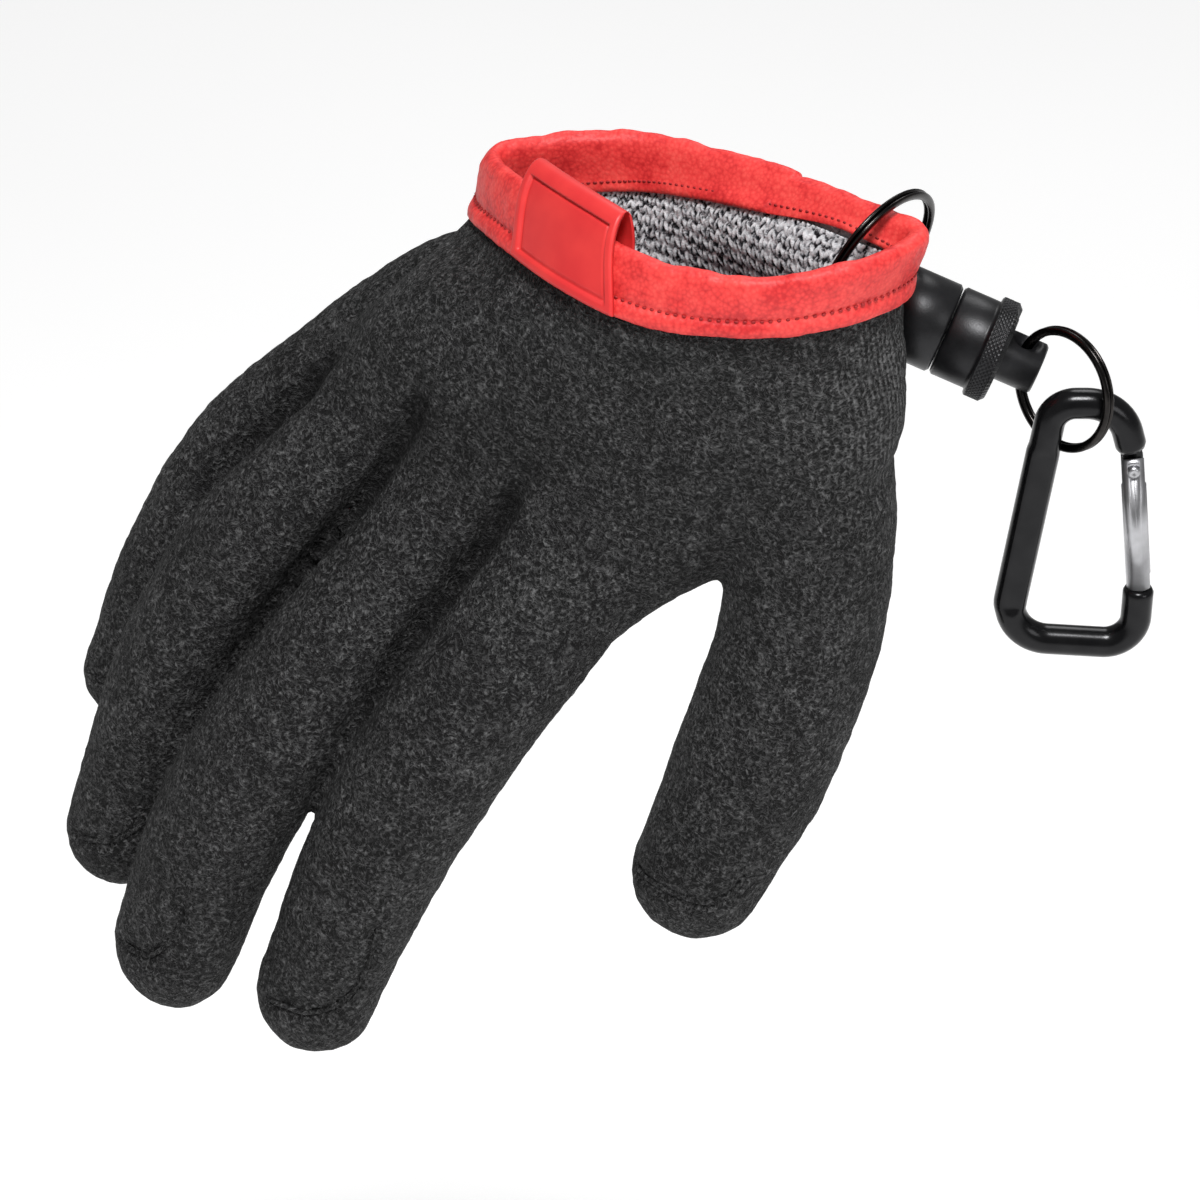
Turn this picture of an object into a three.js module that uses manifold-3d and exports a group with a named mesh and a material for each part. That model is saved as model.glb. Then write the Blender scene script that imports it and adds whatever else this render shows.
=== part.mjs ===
// A puncture-resistant fishing glove for landing fish, right hand, shown as it stands when worn.
// A coated shell lined with knitted yarn, a folded binding round the cuff, a rubber tab, and a
// magnetic release with split rings and a carabiner that hangs from an eyelet in the cuff.
// Millimetres, +Z up. The origin is the middle of the cuff's opening, whose rim lies level.
// The fingers reach down, to -X and a little to -Y; the thumb hangs on the +X side.

import * as THREE from "three";
import { mergeVertices } from "three/addons/utils/BufferGeometryUtils.js";
import Module from "manifold-3d";

const wasm = await Module();
wasm.setup();

const V = (x, y, z) => new THREE.Vector3(x, y, z);
const TAU = 2 * Math.PI;

// Wall build-up, from outside in
const BINDING = 1;
const COATING = 1;
const LINER = 1;
const GAP = 0.3;
const LINER_FACE = COATING + GAP;
const BINDING_INSIDE = LINER_FACE + LINER + GAP + 0.1;

// The lining is seen, and built, down to this level
const LINER_END = -48;

// The cuff's rim, a row for each twelfth of a turn: thumb end, palm side, little-finger end, back.
// flare is how far the wall spreads outwards over the depth of the binding.
const RIM = [
  { x: 41, y: -12, z: 0, flare: -1 },
  { x: 32.3, y: -1.8, z: 0, flare: -5.5 },
  { x: 19, y: 13.1, z: -1.3, flare: -6 },
  { x: 3.4, y: 25.1, z: -1.3, flare: -4 },
  { x: -11.9, y: 33.3, z: -1.3, flare: -2 },
  { x: -28.8, y: 32.2, z: -1.3, flare: 1 },
  { x: -40.2, y: 25, z: -1.3, flare: 2 },
  { x: -34.4, y: 7, z: 0.7, flare: 4 },
  { x: -22, y: -12.3, z: 0.7, flare: 5 },
  { x: -7.7, y: -24.3, z: -1.3, flare: 3 },
  { x: 10.9, y: -30.3, z: -1.3, flare: 1 },
  { x: 29.8, y: -26.7, z: 0.7, flare: 0.5 },
];
const CUFF_SHIFT = V(-2, 1, -13.5);

// The hand from the binding down to the knuckles, a row for each section: its little-finger edge,
// its thumb edge, its thickness, how square its outline is and how far its palm turns to the front.
const PALM = [
  { ax: -55, ay: 22, az: -24, bx: 37.5, by: -19, bz: -36, deep: 50, square: 2.1, tilt: 0.35 },
  { ax: -66, ay: 25, az: -36, bx: 30, by: -20, bz: -53, deep: 46, square: 2.2, tilt: 0.6 },
  { ax: -75, ay: 30, az: -47, bx: 12, by: -18, bz: -66, deep: 39, square: 2.3, tilt: 0.8 },
  { ax: -81, ay: 33, az: -56, bx: -7, by: -17, bz: -77, deep: 32, square: 2.4, tilt: 1 },
  { ax: -84, ay: 32, az: -68, bx: -20, by: -17, bz: -88, deep: 25, square: 2.4, tilt: 1 },
];
const PALM_SIDES = 24;
const PALM_STEPS = 2;

// Fingers, a row for each section from the root inside the palm to the last joint.
const FINGER_SIDES = 10;
const FINGERS = {
  index: [
    { x: -8, y: -3, z: -50, wide: 26, deep: 26 },
    { x: -25, y: -9, z: -73, wide: 31, deep: 28 },
    { x: -51, y: -20, z: -107, wide: 31, deep: 27 },
    { x: -66, y: -24, z: -136, wide: 28, deep: 25 },
    { x: -76, y: -25, z: -162, wide: 25, deep: 22 },
  ],
  middle: [
    { x: -21, y: 9, z: -38, wide: 26, deep: 26 },
    { x: -44, y: 5, z: -64, wide: 28.5, deep: 27 },
    { x: -80, y: -8, z: -106, wide: 28.5, deep: 26 },
    { x: -96, y: -11, z: -134, wide: 29, deep: 24.5 },
    { x: -105, y: -12, z: -159, wide: 26.5, deep: 22 },
  ],
  ring: [
    { x: -37, y: 23, z: -31, wide: 24, deep: 25 },
    { x: -60, y: 20, z: -54, wide: 26, deep: 26 },
    { x: -88, y: 14, z: -80, wide: 26, deep: 25 },
    { x: -105, y: 11, z: -109, wide: 25, deep: 23 },
    { x: -117, y: 9, z: -145, wide: 23, deep: 21 },
  ],
  little: [
    { x: -46, y: 30, z: -32, wide: 22, deep: 22 },
    { x: -68, y: 33, z: -50, wide: 23, deep: 24 },
    { x: -91, y: 31, z: -70, wide: 22.5, deep: 23 },
    { x: -105, y: 28, z: -93, wide: 22, deep: 21 },
    { x: -115, y: 26, z: -118, wide: 20, deep: 18.5 },
  ],
  thumb: [
    { x: 14, y: -9, z: -22, wide: 24, deep: 22 },
    { x: 20, y: -11, z: -48, wide: 32, deep: 36 },
    { x: 20, y: -16, z: -80, wide: 32, deep: 33 },
    { x: 10, y: -22, z: -111, wide: 31.5, deep: 29 },
    { x: 0, y: -27, z: -132, wide: 27, deep: 24 },
  ],
};
const ACROSS_HAND = V(0.66, -0.64, -0.4);
const ACROSS_THUMB = V(0.86, -0.5, 0);

// Closed Catmull-Rom curve through the values of a column, at a share of a turn.
function round(values, share) {
  const n = values.length;
  const at = (((share % 1) + 1) % 1) * n;
  const i = Math.floor(at);
  const [a, b, c, d] = [-1, 0, 1, 2].map((k) => values[(i + k + n) % n]);
  return cubic(a, b, c, d, at - i);
}

function cubic(a, b, c, d, t) {
  const slope = c - a;
  const square = 2 * a - 5 * b + 4 * c - d;
  const cube = 3 * b - a - 3 * c + d;
  return 0.5 * (2 * b + slope * t + square * t * t + cube * t ** 3);
}

const column = (rows, name) => rows.map((row) => row[name]);

function rimPoint(share) {
  return V(...["x", "y", "z"].map((name) => round(column(RIM, name), share)));
}

// The outward level direction of the rim
function rimOutward(share) {
  const step = 0.01;
  const along = rimPoint(share + step).sub(rimPoint(share - step));
  return V(along.y, -along.x, 0).normalize();
}

function cuffFoot(share) {
  const flare = round(column(RIM, "flare"), share);
  return rimPoint(share).add(CUFF_SHIFT).addScaledVector(rimOutward(share), flare);
}

// A point of a palm row's outline. Share 0 is the thumb edge, a quarter is the palm side.
function rowPoint(row, share) {
  const a = V(row.ax, row.ay, row.az);
  const b = V(row.bx, row.by, row.bz);
  const across = b.clone().sub(a).multiplyScalar(0.5);
  const palmward = V(0, 1, 0).lerp(V(0.44, 0.75, -0.5), row.tilt).cross(across);
  const down = palmward.cross(across).normalize();
  const turn = TAU * share;
  const soft = (v) => Math.sign(v) * Math.abs(v) ** (2 / row.square);
  return a
    .add(b)
    .multiplyScalar(0.5)
    .addScaledVector(across, soft(Math.cos(turn)))
    .addScaledVector(down, (-row.deep / 2) * soft(Math.sin(turn)));
}

// The hand's outer surface. At 0 it is the rim, at 1 the foot of the binding, then a row each.
const LEVELS = [
  (share) => rimPoint(share).multiplyScalar(2).sub(cuffFoot(share)),
  rimPoint,
  cuffFoot,
  ...PALM.map((row) => (share) => rowPoint(row, share)),
];

function handPoint(level, share) {
  const last = LEVELS.length - 1;
  const at = Math.min(Math.max(level + 1, 0), last);
  const i = Math.min(Math.floor(at), last - 1);
  const [a, b, c, d] = [-1, 0, 1, 2].map((k) => LEVELS[Math.min(Math.max(i + k, 0), last)](share));
  return V(...["x", "y", "z"].map((n) => cubic(a[n], b[n], c[n], d[n], at - i)));
}

// The hand's outer surface moved outwards by off.
function wallPoint(level, share, off) {
  const step = 0.01;
  const along = handPoint(level, share + step).sub(handPoint(level, share - step));
  const down = handPoint(level + step, share).sub(handPoint(level - step, share));
  return handPoint(level, share).addScaledVector(down.cross(along).normalize(), off);
}

// A solid from rings of points, each ring the same length, with a flat or pointed cap at each end.
function solidOf(rings) {
  const sides = rings[0].length;
  const middle = (ring) => ring.reduce((sum, p) => sum.add(p), V(0, 0, 0)).divideScalar(sides);
  const points = [...rings.flat(), middle(rings[0]), middle(rings.at(-1))];
  const first = rings.length * sides;
  const faces = [];
  for (let j = 0; j < sides; j++) {
    const k = (j + 1) % sides;
    for (let i = 0; i + 1 < rings.length; i++) {
      const [a, b, c, d] = [i * sides + j, i * sides + k, (i + 1) * sides + k, (i + 1) * sides + j];
      faces.push(a, b, c, a, c, d);
    }
    faces.push(first, k, j);
    const end = (rings.length - 1) * sides;
    faces.push(first + 1, end + j, end + k);
  }
  return facingOut(points, faces);
}

// A closed ring whose section goes round: sections is a list of loops, the last joined to the first.
// Where flipped holds for a side of the loop, its faces are split along the other diagonal.
function ringOf(sections, flipped = () => false) {
  const n = sections.length;
  const m = sections[0].length;
  const faces = [];
  for (let i = 0; i < n; i++) {
    for (let j = 0; j < m; j++) {
      const [a, b] = [i * m + j, i * m + ((j + 1) % m)];
      const [c, d] = [((i + 1) % n) * m + ((j + 1) % m), ((i + 1) % n) * m + j];
      if (flipped(j)) faces.push(a, b, d, b, c, d);
      else faces.push(a, b, c, a, c, d);
    }
  }
  return facingOut(sections.flat(), faces);
}

function facingOut(points, faces) {
  let volume = 0;
  for (let i = 0; i < faces.length; i += 3) {
    const [a, b, c] = faces.slice(i, i + 3).map((k) => points[k]);
    volume += a.dot(b.clone().cross(c));
  }
  if (volume < 0) {
    for (let i = 0; i < faces.length; i += 3) [faces[i], faces[i + 1]] = [faces[i + 1], faces[i]];
  }
  const mesh = { numProp: 3, vertProperties: new Float32Array(points.flatMap((p) => p.toArray())) };
  return new wasm.Manifold(new wasm.Mesh({ ...mesh, triVerts: new Uint32Array(faces) }));
}

// A manifold solid from a three.js geometry
function solidFrom(geometry) {
  const bare = geometry.clone();
  bare.deleteAttribute("normal");
  bare.deleteAttribute("uv");
  const merged = mergeVertices(bare, 1e-4);
  return new wasm.Manifold(
    new wasm.Mesh({
      numProp: 3,
      vertProperties: merged.attributes.position.array,
      triVerts: new Uint32Array(merged.index.array),
    }),
  );
}

// The palm as a solid, drawn in by inset. Past its rim it goes on upwards where above is set, and
// otherwise a lining ends a little below the rim.
function palmSolid(inset, above) {
  const rings = [];
  const count = (LEVELS.length - 2) * PALM_STEPS;
  for (let i = above ? -1 : 0; i <= count; i++) {
    const level = above ? i / PALM_STEPS : Math.max(i / PALM_STEPS, inset * 0.05);
    const short = i === count ? 1 : 0;
    rings.push(
      Array.from({ length: PALM_SIDES }, (_, j) =>
        wallPoint(level - (short * inset) / 15, j / PALM_SIDES, -inset),
      ),
    );
  }
  return solidOf(rings);
}

// A finger as a solid with a domed tip, drawn in by inset.
function fingerSolid(rows, acrossHand, inset) {
  const path = new THREE.CatmullRomCurve3(rows.map((r) => V(r.x, r.y, r.z)), false, "centripetal");
  const steps = 2;
  const count = (rows.length - 1) * steps;
  const rings = [];
  const ring = (centre, tangent, wide, deep) => {
    const across = acrossHand.clone().addScaledVector(tangent, -acrossHand.dot(tangent)).normalize();
    const thick = tangent.clone().cross(across);
    return Array.from({ length: FINGER_SIDES }, (_, j) => {
      const turn = (TAU * j) / FINGER_SIDES;
      return centre
        .clone()
        .addScaledVector(across, (wide / 2 - inset) * Math.cos(turn))
        .addScaledVector(thick, (deep / 2 - inset) * Math.sin(turn));
    });
  };
  for (let i = 0; i <= count; i++) {
    const t = i / count;
    const row = Math.min(Math.floor(i / steps), rows.length - 2);
    const share = i / steps - row;
    const size = (name) => rows[row][name] * (1 - share) + rows[row + 1][name] * share;
    const centre = path.getPoint(t).addScaledVector(path.getTangent(t), i === 0 ? inset : 0);
    rings.push(ring(centre, path.getTangent(t), size("wide"), size("deep")));
  }
  const tip = rows.at(-1);
  const ahead = path.getTangent(1);
  const reach = tip.wide / 2 - inset;
  for (const angle of [40, 75]) {
    const a = THREE.MathUtils.degToRad(angle);
    const centre = path.getPoint(1).addScaledVector(ahead, reach * Math.sin(a));
    const wide = (tip.wide - 2 * inset) * Math.cos(a) + 2 * inset;
    const deep = (tip.deep - 2 * inset) * Math.cos(a) + 2 * inset;
    rings.push(ring(centre, ahead, wide, deep));
  }
  return solidOf(rings);
}

// The whole hand as one solid, drawn in by inset.
function handSolid(inset, above = false) {
  let hand = palmSolid(inset, above);
  for (const [name, rows] of Object.entries(FINGERS)) {
    hand = hand.add(fingerSolid(rows, name === "thumb" ? ACROSS_THUMB : ACROSS_HAND, inset));
  }
  return hand;
}

const glove = new THREE.Group();

function add(name, solid, colour, roughness, metalness) {
  const mesh = solid.getMesh();
  const stride = mesh.numProp;
  const positions = new Float32Array(mesh.numVert * 3);
  for (let i = 0; i < mesh.numVert; i++) {
    positions.set(mesh.vertProperties.subarray(i * stride, i * stride + 3), i * 3);
  }
  const geometry = new THREE.BufferGeometry();
  geometry.setAttribute("position", new THREE.BufferAttribute(positions, 3));
  geometry.setIndex(new THREE.BufferAttribute(mesh.triVerts, 1));
  geometry.computeVertexNormals();
  const material = new THREE.MeshStandardMaterial({ color: colour, roughness, metalness });
  const piece = new THREE.Mesh(geometry, material);
  piece.name = name;
  glove.add(piece);
}

const shell = handSolid(0).subtract(handSolid(COATING, true));
const lining = handSolid(LINER_FACE)
  .subtract(handSolid(LINER_FACE + LINER, true))
  .intersect(handSolid(COATING + GAP / 2, true))
  .subtract(shell);
const lowerHand = solidFrom(new THREE.BoxGeometry(400, 400, 400).translate(0, 0, LINER_END - 200));

// The eyelet's own frame: z points out of the glove, y up the wall.
const EYELET = { share: 0.1, level: 1.33, bore: 11, flange: 16.6, washer: 14, sheet: 0.8, barrel: 0.8 };
const EYELET_CHORD = { level: 0.42, share: 0.045 };
const eyeletEdges = [
  wallPoint(EYELET.level - EYELET_CHORD.level, EYELET.share, 0),
  wallPoint(EYELET.level + EYELET_CHORD.level, EYELET.share, 0),
  wallPoint(EYELET.level, EYELET.share - EYELET_CHORD.share, 0),
  wallPoint(EYELET.level, EYELET.share + EYELET_CHORD.share, 0),
];
const eyeletDown = eyeletEdges[1].clone().sub(eyeletEdges[0]);
const eyeletOut = eyeletDown.cross(eyeletEdges[3].clone().sub(eyeletEdges[2])).normalize();
const eyeletMiddle = eyeletEdges.reduce((sum, p) => sum.add(p), V(0, 0, 0)).divideScalar(4);

function frameAt(origin, z, near) {
  const y = near.clone().addScaledVector(z, -near.dot(z)).normalize();
  const x = y.clone().cross(z);
  return new THREE.Matrix4().makeBasis(x, y, z).setPosition(origin);
}

// A turned piece from a closed profile of [radius, height] about Z
function turned(profile, sides) {
  const closed = [...profile, profile[0]].map(([r, z]) => new THREE.Vector2(r, z));
  return new THREE.LatheGeometry(closed, sides).rotateX(Math.PI / 2);
}

// A straight round bar along Z
function bar(radius, from, to, sides) {
  const length = to - from;
  return new THREE.CylinderGeometry(radius, radius, length, sides)
    .rotateX(Math.PI / 2)
    .translate(0, 0, from + length / 2);
}

const GROMMET_IN = -(LINER_FACE + LINER + 1.4);
const GROMMET_OUT = 2.2;
const eyeletFrame = frameAt(eyeletMiddle, eyeletOut, V(0, 0, 1));
const hole = solidFrom(bar(EYELET.bore / 2 + EYELET.barrel + GAP, -14, 8, 20).applyMatrix4(eyeletFrame));

const { bore, flange, washer, sheet, barrel } = EYELET;
const grommet = turned(
  [
    [bore / 2, GROMMET_IN - sheet],
    [flange / 2, GROMMET_IN - sheet],
    [flange / 2, GROMMET_IN],
    [bore / 2 + barrel, GROMMET_IN],
    [bore / 2 + barrel, GROMMET_OUT],
    [washer / 2, GROMMET_OUT],
    [washer / 2, GROMMET_OUT + sheet],
    [bore / 2, GROMMET_OUT + sheet],
  ],
  24,
).applyMatrix4(eyeletFrame);

// The binding, folded over the rim: a closed band of these corners round the cuff
const BINDING_FOLD = [
  { level: 1, off: GAP + BINDING, up: 0 },
  { level: 0.5, off: GAP + BINDING, up: 0 },
  { level: 0, off: 2 * GAP + BINDING, up: 0.3 },
  { level: 0, off: GAP, up: 2 * GAP + BINDING },
  { level: 0, off: -BINDING_INSIDE, up: 2 * GAP + BINDING },
  { level: 0, off: -BINDING_INSIDE - GAP - BINDING, up: 0.3 },
  { level: 0.5, off: -BINDING_INSIDE - BINDING, up: 0 },
  { level: 0.72, off: -BINDING_INSIDE - BINDING, up: 0 },
  { level: 0.72, off: -BINDING_INSIDE, up: 0 },
  { level: 0.5, off: -BINDING_INSIDE, up: 0 },
  { level: 0.08, off: -BINDING_INSIDE, up: 0 },
  { level: 0, off: -BINDING_INSIDE - GAP, up: 2 * GAP },
  { level: 0, off: 2 * GAP, up: 2 * GAP },
  { level: 0.08, off: GAP, up: 0 },
  { level: 0.5, off: GAP, up: 0 },
  { level: 1, off: GAP, up: 0 },
];
function foldPoint({ level, off, up }, share) {
  const point = wallPoint(level, share, off);
  return level > 0 ? point : point.setZ(rimPoint(share).z + up);
}
const binding = ringOf(
  Array.from({ length: PALM_SIDES }, (_, j) =>
    BINDING_FOLD.map((corner) => foldPoint(corner, j / PALM_SIDES)),
  ),
  (j) => BINDING_FOLD[j].level > BINDING_FOLD[(j + 1) % BINDING_FOLD.length].level,
);

// The rubber tab: folded over the binding, standing above it, with a raised border in front
const TAB = { from: 0.6, to: 0.706, lean: 0.02, border: 0.012 };
const TAB_OUTSIDE = [
  { level: 0.93, off: 3.5 },
  { level: 0, off: 3.5 },
  { level: -0.25, off: 2.4 },
  { level: -0.46, off: 1.3 },
  { level: -0.5, off: 0.2 },
  { level: -0.5, off: -1.4 },
  { level: -0.45, off: -2.6 },
  { level: -0.2, off: -5 },
  { level: 0, off: -6.1 },
  { level: 0.62, off: -6.1 },
];
const TAB_INSIDE = [
  { level: 1.2, off: 2.1 },
  { level: 0, off: 2 },
  { level: -0.19, off: 0.9 },
  { level: -0.19, off: -3.4 },
  { level: 0, off: -4.6 },
  { level: 0.9, off: -4.6 },
];
const TAB_FIELD = [
  { level: 0.82, off: 3 },
  { level: 0, off: 3 },
  { level: -0.24, off: 2 },
  { level: -0.36, off: 1.3 },
  { level: -0.4, off: 4 },
  { level: 0.82, off: 5 },
];
function tabSweep(corners, from, to) {
  const steps = 4;
  return solidOf(
    Array.from({ length: steps + 1 }, (_, i) =>
      corners.map(({ level, off }) => {
        const share = from + ((to - from) * i) / steps + TAB.lean * level;
        return wallPoint(level, share, off);
      }),
    ),
  );
}
const tab = tabSweep(TAB_OUTSIDE, TAB.from, TAB.to)
  .subtract(tabSweep(TAB_INSIDE, TAB.from - 0.02, TAB.to + 0.02))
  .subtract(tabSweep(TAB_FIELD, TAB.from + TAB.border, TAB.to - TAB.border));

// The magnetic release. Its frame lies at the seam of its two halves, z along it to its free end.
const CLIP_SEAM = V(47, 2.1, -27.6);
const CLIP_AXIS = V(0.915, -0.21, -0.34).normalize();
const CLIP = {
  body: 9,
  inner: 10.6,
  outer: 7.6,
  collar: 10.2,
  collarLong: 4.2,
  chamfer: 0.8,
  stem: 5.1,
  stemLong: 7.5,
  eye: 2.7,
  eyeFromEnd: 3.7,
};
const LINK = { wire: 1, carabiner: 11.5 };
const clipFrame = frameAt(CLIP_SEAM, CLIP_AXIS, V(0, 0, 1));
const innerEyeZ = -(CLIP.inner + CLIP.stemLong - CLIP.eyeFromEnd);
const outerEyeZ = CLIP.outer + CLIP.collarLong + CLIP.stemLong - CLIP.eyeFromEnd;
const onClip = (z) => V(0, 0, z).applyMatrix4(clipFrame);

// An eye drilled at a point along the wire that passes there
function eyeAlong(point, wire) {
  return solidFrom(bar(CLIP.eye, -12, 12, 14).applyMatrix4(frameAt(point, wire, CLIP_AXIS)));
}
const clipInner = turned(
  [
    [0, -CLIP.inner - CLIP.stemLong],
    [CLIP.stem - 0.5, -CLIP.inner - CLIP.stemLong],
    [CLIP.stem, -CLIP.inner - CLIP.stemLong + 0.5],
    [CLIP.stem, -CLIP.inner],
    [CLIP.body - CLIP.chamfer, -CLIP.inner],
    [CLIP.body, -CLIP.inner + CLIP.chamfer],
    [CLIP.body, -0.15],
    [0, -0.15],
  ],
  24,
);
const outerEnd = CLIP.outer + CLIP.collarLong + CLIP.stemLong;
const clipOuter = turned(
  [
    [0, 0.15],
    [CLIP.body, 0.15],
    [CLIP.body, CLIP.outer],
    [CLIP.collar, CLIP.outer + CLIP.chamfer],
    [CLIP.collar, CLIP.outer + CLIP.collarLong - CLIP.chamfer],
    [CLIP.collar - CLIP.chamfer, CLIP.outer + CLIP.collarLong],
    [CLIP.stem, CLIP.outer + CLIP.collarLong],
    [CLIP.stem, outerEnd - 0.5],
    [CLIP.stem - 0.5, outerEnd],
    [0, outerEnd],
  ],
  24,
);

// A split ring drawn as one round wire in the plane of x and y of a frame
function link(radius, frame) {
  return new THREE.TorusGeometry(radius, LINK.wire, 6, 24).applyMatrix4(frame);
}

// The cuff's ring passes over the rim, through the eyelet and through the release's inner eye.
const rimCrossing = wallPoint(0, 0.053, -1.2).add(V(0, 0, 2 * GAP + BINDING + GAP + LINK.wire + 0.3));
const eyeletCrossing = wallPoint(1.4, EYELET.share, -1.2);
const innerEye = onClip(innerEyeZ);
function ringFrameThrough(a, b, c) {
  const ab = b.clone().sub(a);
  const ac = c.clone().sub(a);
  const axis = ab.clone().cross(ac);
  const side = axis.clone().cross(ab).multiplyScalar(ac.lengthSq());
  side.add(ac.clone().cross(axis).multiplyScalar(ab.lengthSq()));
  const centre = a.clone().addScaledVector(side, 1 / (2 * axis.lengthSq()));
  return { radius: centre.distanceTo(a), frame: frameAt(centre, axis.normalize(), ab) };
}
const cuffLink = ringFrameThrough(rimCrossing, eyeletCrossing, innerEye);
const cuffLinkAxis = V(0, 0, 0).setFromMatrixColumn(cuffLink.frame, 2);
const cuffLinkCentre = V(0, 0, 0).setFromMatrixPosition(cuffLink.frame);
const wireAtInnerEye = cuffLinkAxis.cross(innerEye.clone().sub(cuffLinkCentre)).normalize();

// The carabiner's ring hangs in the release's outer eye.
const RING_RIGHT = V(0.643, -0.663, 0.383);
const RING_UP = V(-0.2, 0.34, 0.92);
const outerEye = onClip(outerEyeZ);
const clipRingCentre = outerEye
  .clone()
  .addScaledVector(RING_RIGHT, LINK.carabiner * 0.87)
  .addScaledVector(RING_UP, -LINK.carabiner * 0.5);
const clipRingAxis = RING_RIGHT.clone().cross(RING_UP).normalize();
const clipRingFrame = frameAt(clipRingCentre, clipRingAxis, RING_UP);
const wireAtOuterEye = clipRingAxis.clone().cross(outerEye.clone().sub(clipRingCentre)).normalize();

// The carabiner, hung in the plane of x and z from the middle of its top bow. Its bends run from
// the nose round the spine and the bow to the gate's pivot.
const CARABINER_TOP = V(71.9, -13.7, -35.3);
const CARABINER = { stock: 3, spineThick: 2.6, sides: 12 };
const BENDS = [
  { x: 12.95, z: -40.2, bend: 0 },
  { x: 12.6, z: -52.9, bend: 6 },
  { x: -13, z: -51.2, bend: 8 },
  { x: -5.2, z: 0, bend: 5 },
  { x: 7.4, z: 0, bend: 8.4 },
  { x: 10.1, z: -9.6, bend: 0 },
];
const GATE = {
  pin: V(10.5, 0, -13.6),
  lean: Math.atan2(2.4, 25.4),
  radius: 2.4,
  above: 2.3,
  below: 26.3,
  slot: 1.1,
  slotTop: 4,
  slotEnd: 3,
  tongue: 0.8,
  pinRadius: 0.9,
};
const carabinerFrame = new THREE.Matrix4().setPosition(CARABINER_TOP);
const gateFrame = new THREE.Matrix4()
  .makeRotationY(-GATE.lean)
  .setPosition(GATE.pin)
  .premultiply(carabinerFrame);

// The middle line through the bends: each corner is replaced by an arc of its own radius.
function bentPath(bends) {
  const corners = bends.map((b) => V(b.x, 0, b.z));
  const path = [corners[0]];
  for (let i = 1; i + 1 < corners.length; i++) {
    const back = corners[i - 1].clone().sub(corners[i]).normalize();
    const ahead = corners[i + 1].clone().sub(corners[i]).normalize();
    const half = back.angleTo(ahead) / 2;
    const middle = back.clone().add(ahead).normalize();
    const centre = corners[i].clone().addScaledVector(middle, bends[i].bend / Math.sin(half));
    const sweep = Math.PI - 2 * half;
    const steps = Math.ceil(sweep / 0.3);
    const start = corners[i].clone().addScaledVector(back, bends[i].bend / Math.tan(half)).sub(centre);
    const turn = back.clone().cross(ahead).y > 0 ? -1 : 1;
    for (let k = 0; k <= steps; k++) {
      path.push(start.clone().applyAxisAngle(V(0, 1, 0), (turn * sweep * k) / steps).add(centre));
    }
  }
  return [...path, corners.at(-1)];
}

function bentBar(bends, spec) {
  const path = bentPath(bends);
  const rings = path.map((centre, i) => {
    const tangent = path[Math.min(i + 1, path.length - 1)].clone().sub(path[Math.max(i - 1, 0)]).normalize();
    const sideways = tangent.clone().cross(V(0, 1, 0));
    const onSpine = centre.x < -6 && centre.z < -8 && centre.z > -44;
    const thick = onSpine ? spec.spineThick : spec.stock;
    return Array.from({ length: spec.sides }, (_, j) => {
      const angle = (TAU * (j + 0.5)) / spec.sides;
      return centre
        .clone()
        .addScaledVector(sideways, spec.stock * Math.cos(angle))
        .addScaledVector(V(0, 1, 0), thick * Math.sin(angle));
    });
  });
  return solidOf(rings.map((ring) => ring.map((p) => p.add(CARABINER_TOP))));
}

function block(x, y, z, frame) {
  const box = new THREE.BoxGeometry(x[1] - x[0], y[1] - y[0], z[1] - z[0]);
  box.translate((x[0] + x[1]) / 2, (y[0] + y[1]) / 2, (z[0] + z[1]) / 2);
  return solidFrom(box.applyMatrix4(frame));
}

const alongY = (radius, half) => bar(radius, -half, half, 12).rotateX(Math.PI / 2).applyMatrix4(gateFrame);
const pinHole = solidFrom(alongY(GATE.pinRadius + 0.2, 6));
const { tongue, slot } = GATE;
const pivotTongue = block([-1.8, 1.8], [-tongue, tongue], [-2.2, 6], gateFrame);
const noseDepths = [-GATE.below - 3, -GATE.below + GATE.slotEnd - 0.4];
const noseTongue = block([-0.8, 2], [-tongue, tongue], noseDepths, gateFrame);
const carabiner = bentBar(BENDS, CARABINER);
const gateBar = solidFrom(bar(GATE.radius, -GATE.below, GATE.above, 14).applyMatrix4(gateFrame));
const gate = gateBar
  .subtract(block([-4, 4], [-slot, slot], [-GATE.slotTop, 4], gateFrame))
  .subtract(block([-1.1, 4], [-slot, slot], [-GATE.below - 1, -GATE.below + GATE.slotEnd], gateFrame))
  .subtract(pinHole);

add("coated_shell", shell.subtract(hole), 0x343434, 0.9, 0);
add("knit_liner", lining.subtract(lowerHand).subtract(hole), 0xa9abad, 0.95, 0);
add("cuff_binding", binding.subtract(hole), 0xc83a3a, 0.6, 0);
add("cuff_tab", tab, 0xd8403c, 0.5, 0);
add("grommet", solidFrom(grommet), 0x4a4642, 0.35, 1);
add("cuff_ring", solidFrom(link(cuffLink.radius, cuffLink.frame)), 0x1c1b1b, 0.3, 1);
const innerHalf = solidFrom(clipInner.applyMatrix4(clipFrame)).subtract(eyeAlong(innerEye, wireAtInnerEye));
add("clip_inner", innerHalf, 0x1d1d1e, 0.45, 0.6);
const outerHalf = solidFrom(clipOuter.applyMatrix4(clipFrame)).subtract(eyeAlong(outerEye, wireAtOuterEye));
add("clip_outer", outerHalf, 0x1d1d1e, 0.45, 0.6);
add("clip_ring", solidFrom(link(LINK.carabiner, clipRingFrame)), 0x1c1b1b, 0.3, 1);
add("carabiner_frame", carabiner.add(pivotTongue).add(noseTongue).subtract(pinHole), 0x151516, 0.3, 0.7);
add("carabiner_gate", gate, 0xa3a3a6, 0.4, 1);
add("gate_pin", solidFrom(alongY(GATE.pinRadius, 2.5)), 0xb0b0b2, 0.35, 1);

export default glove;
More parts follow.
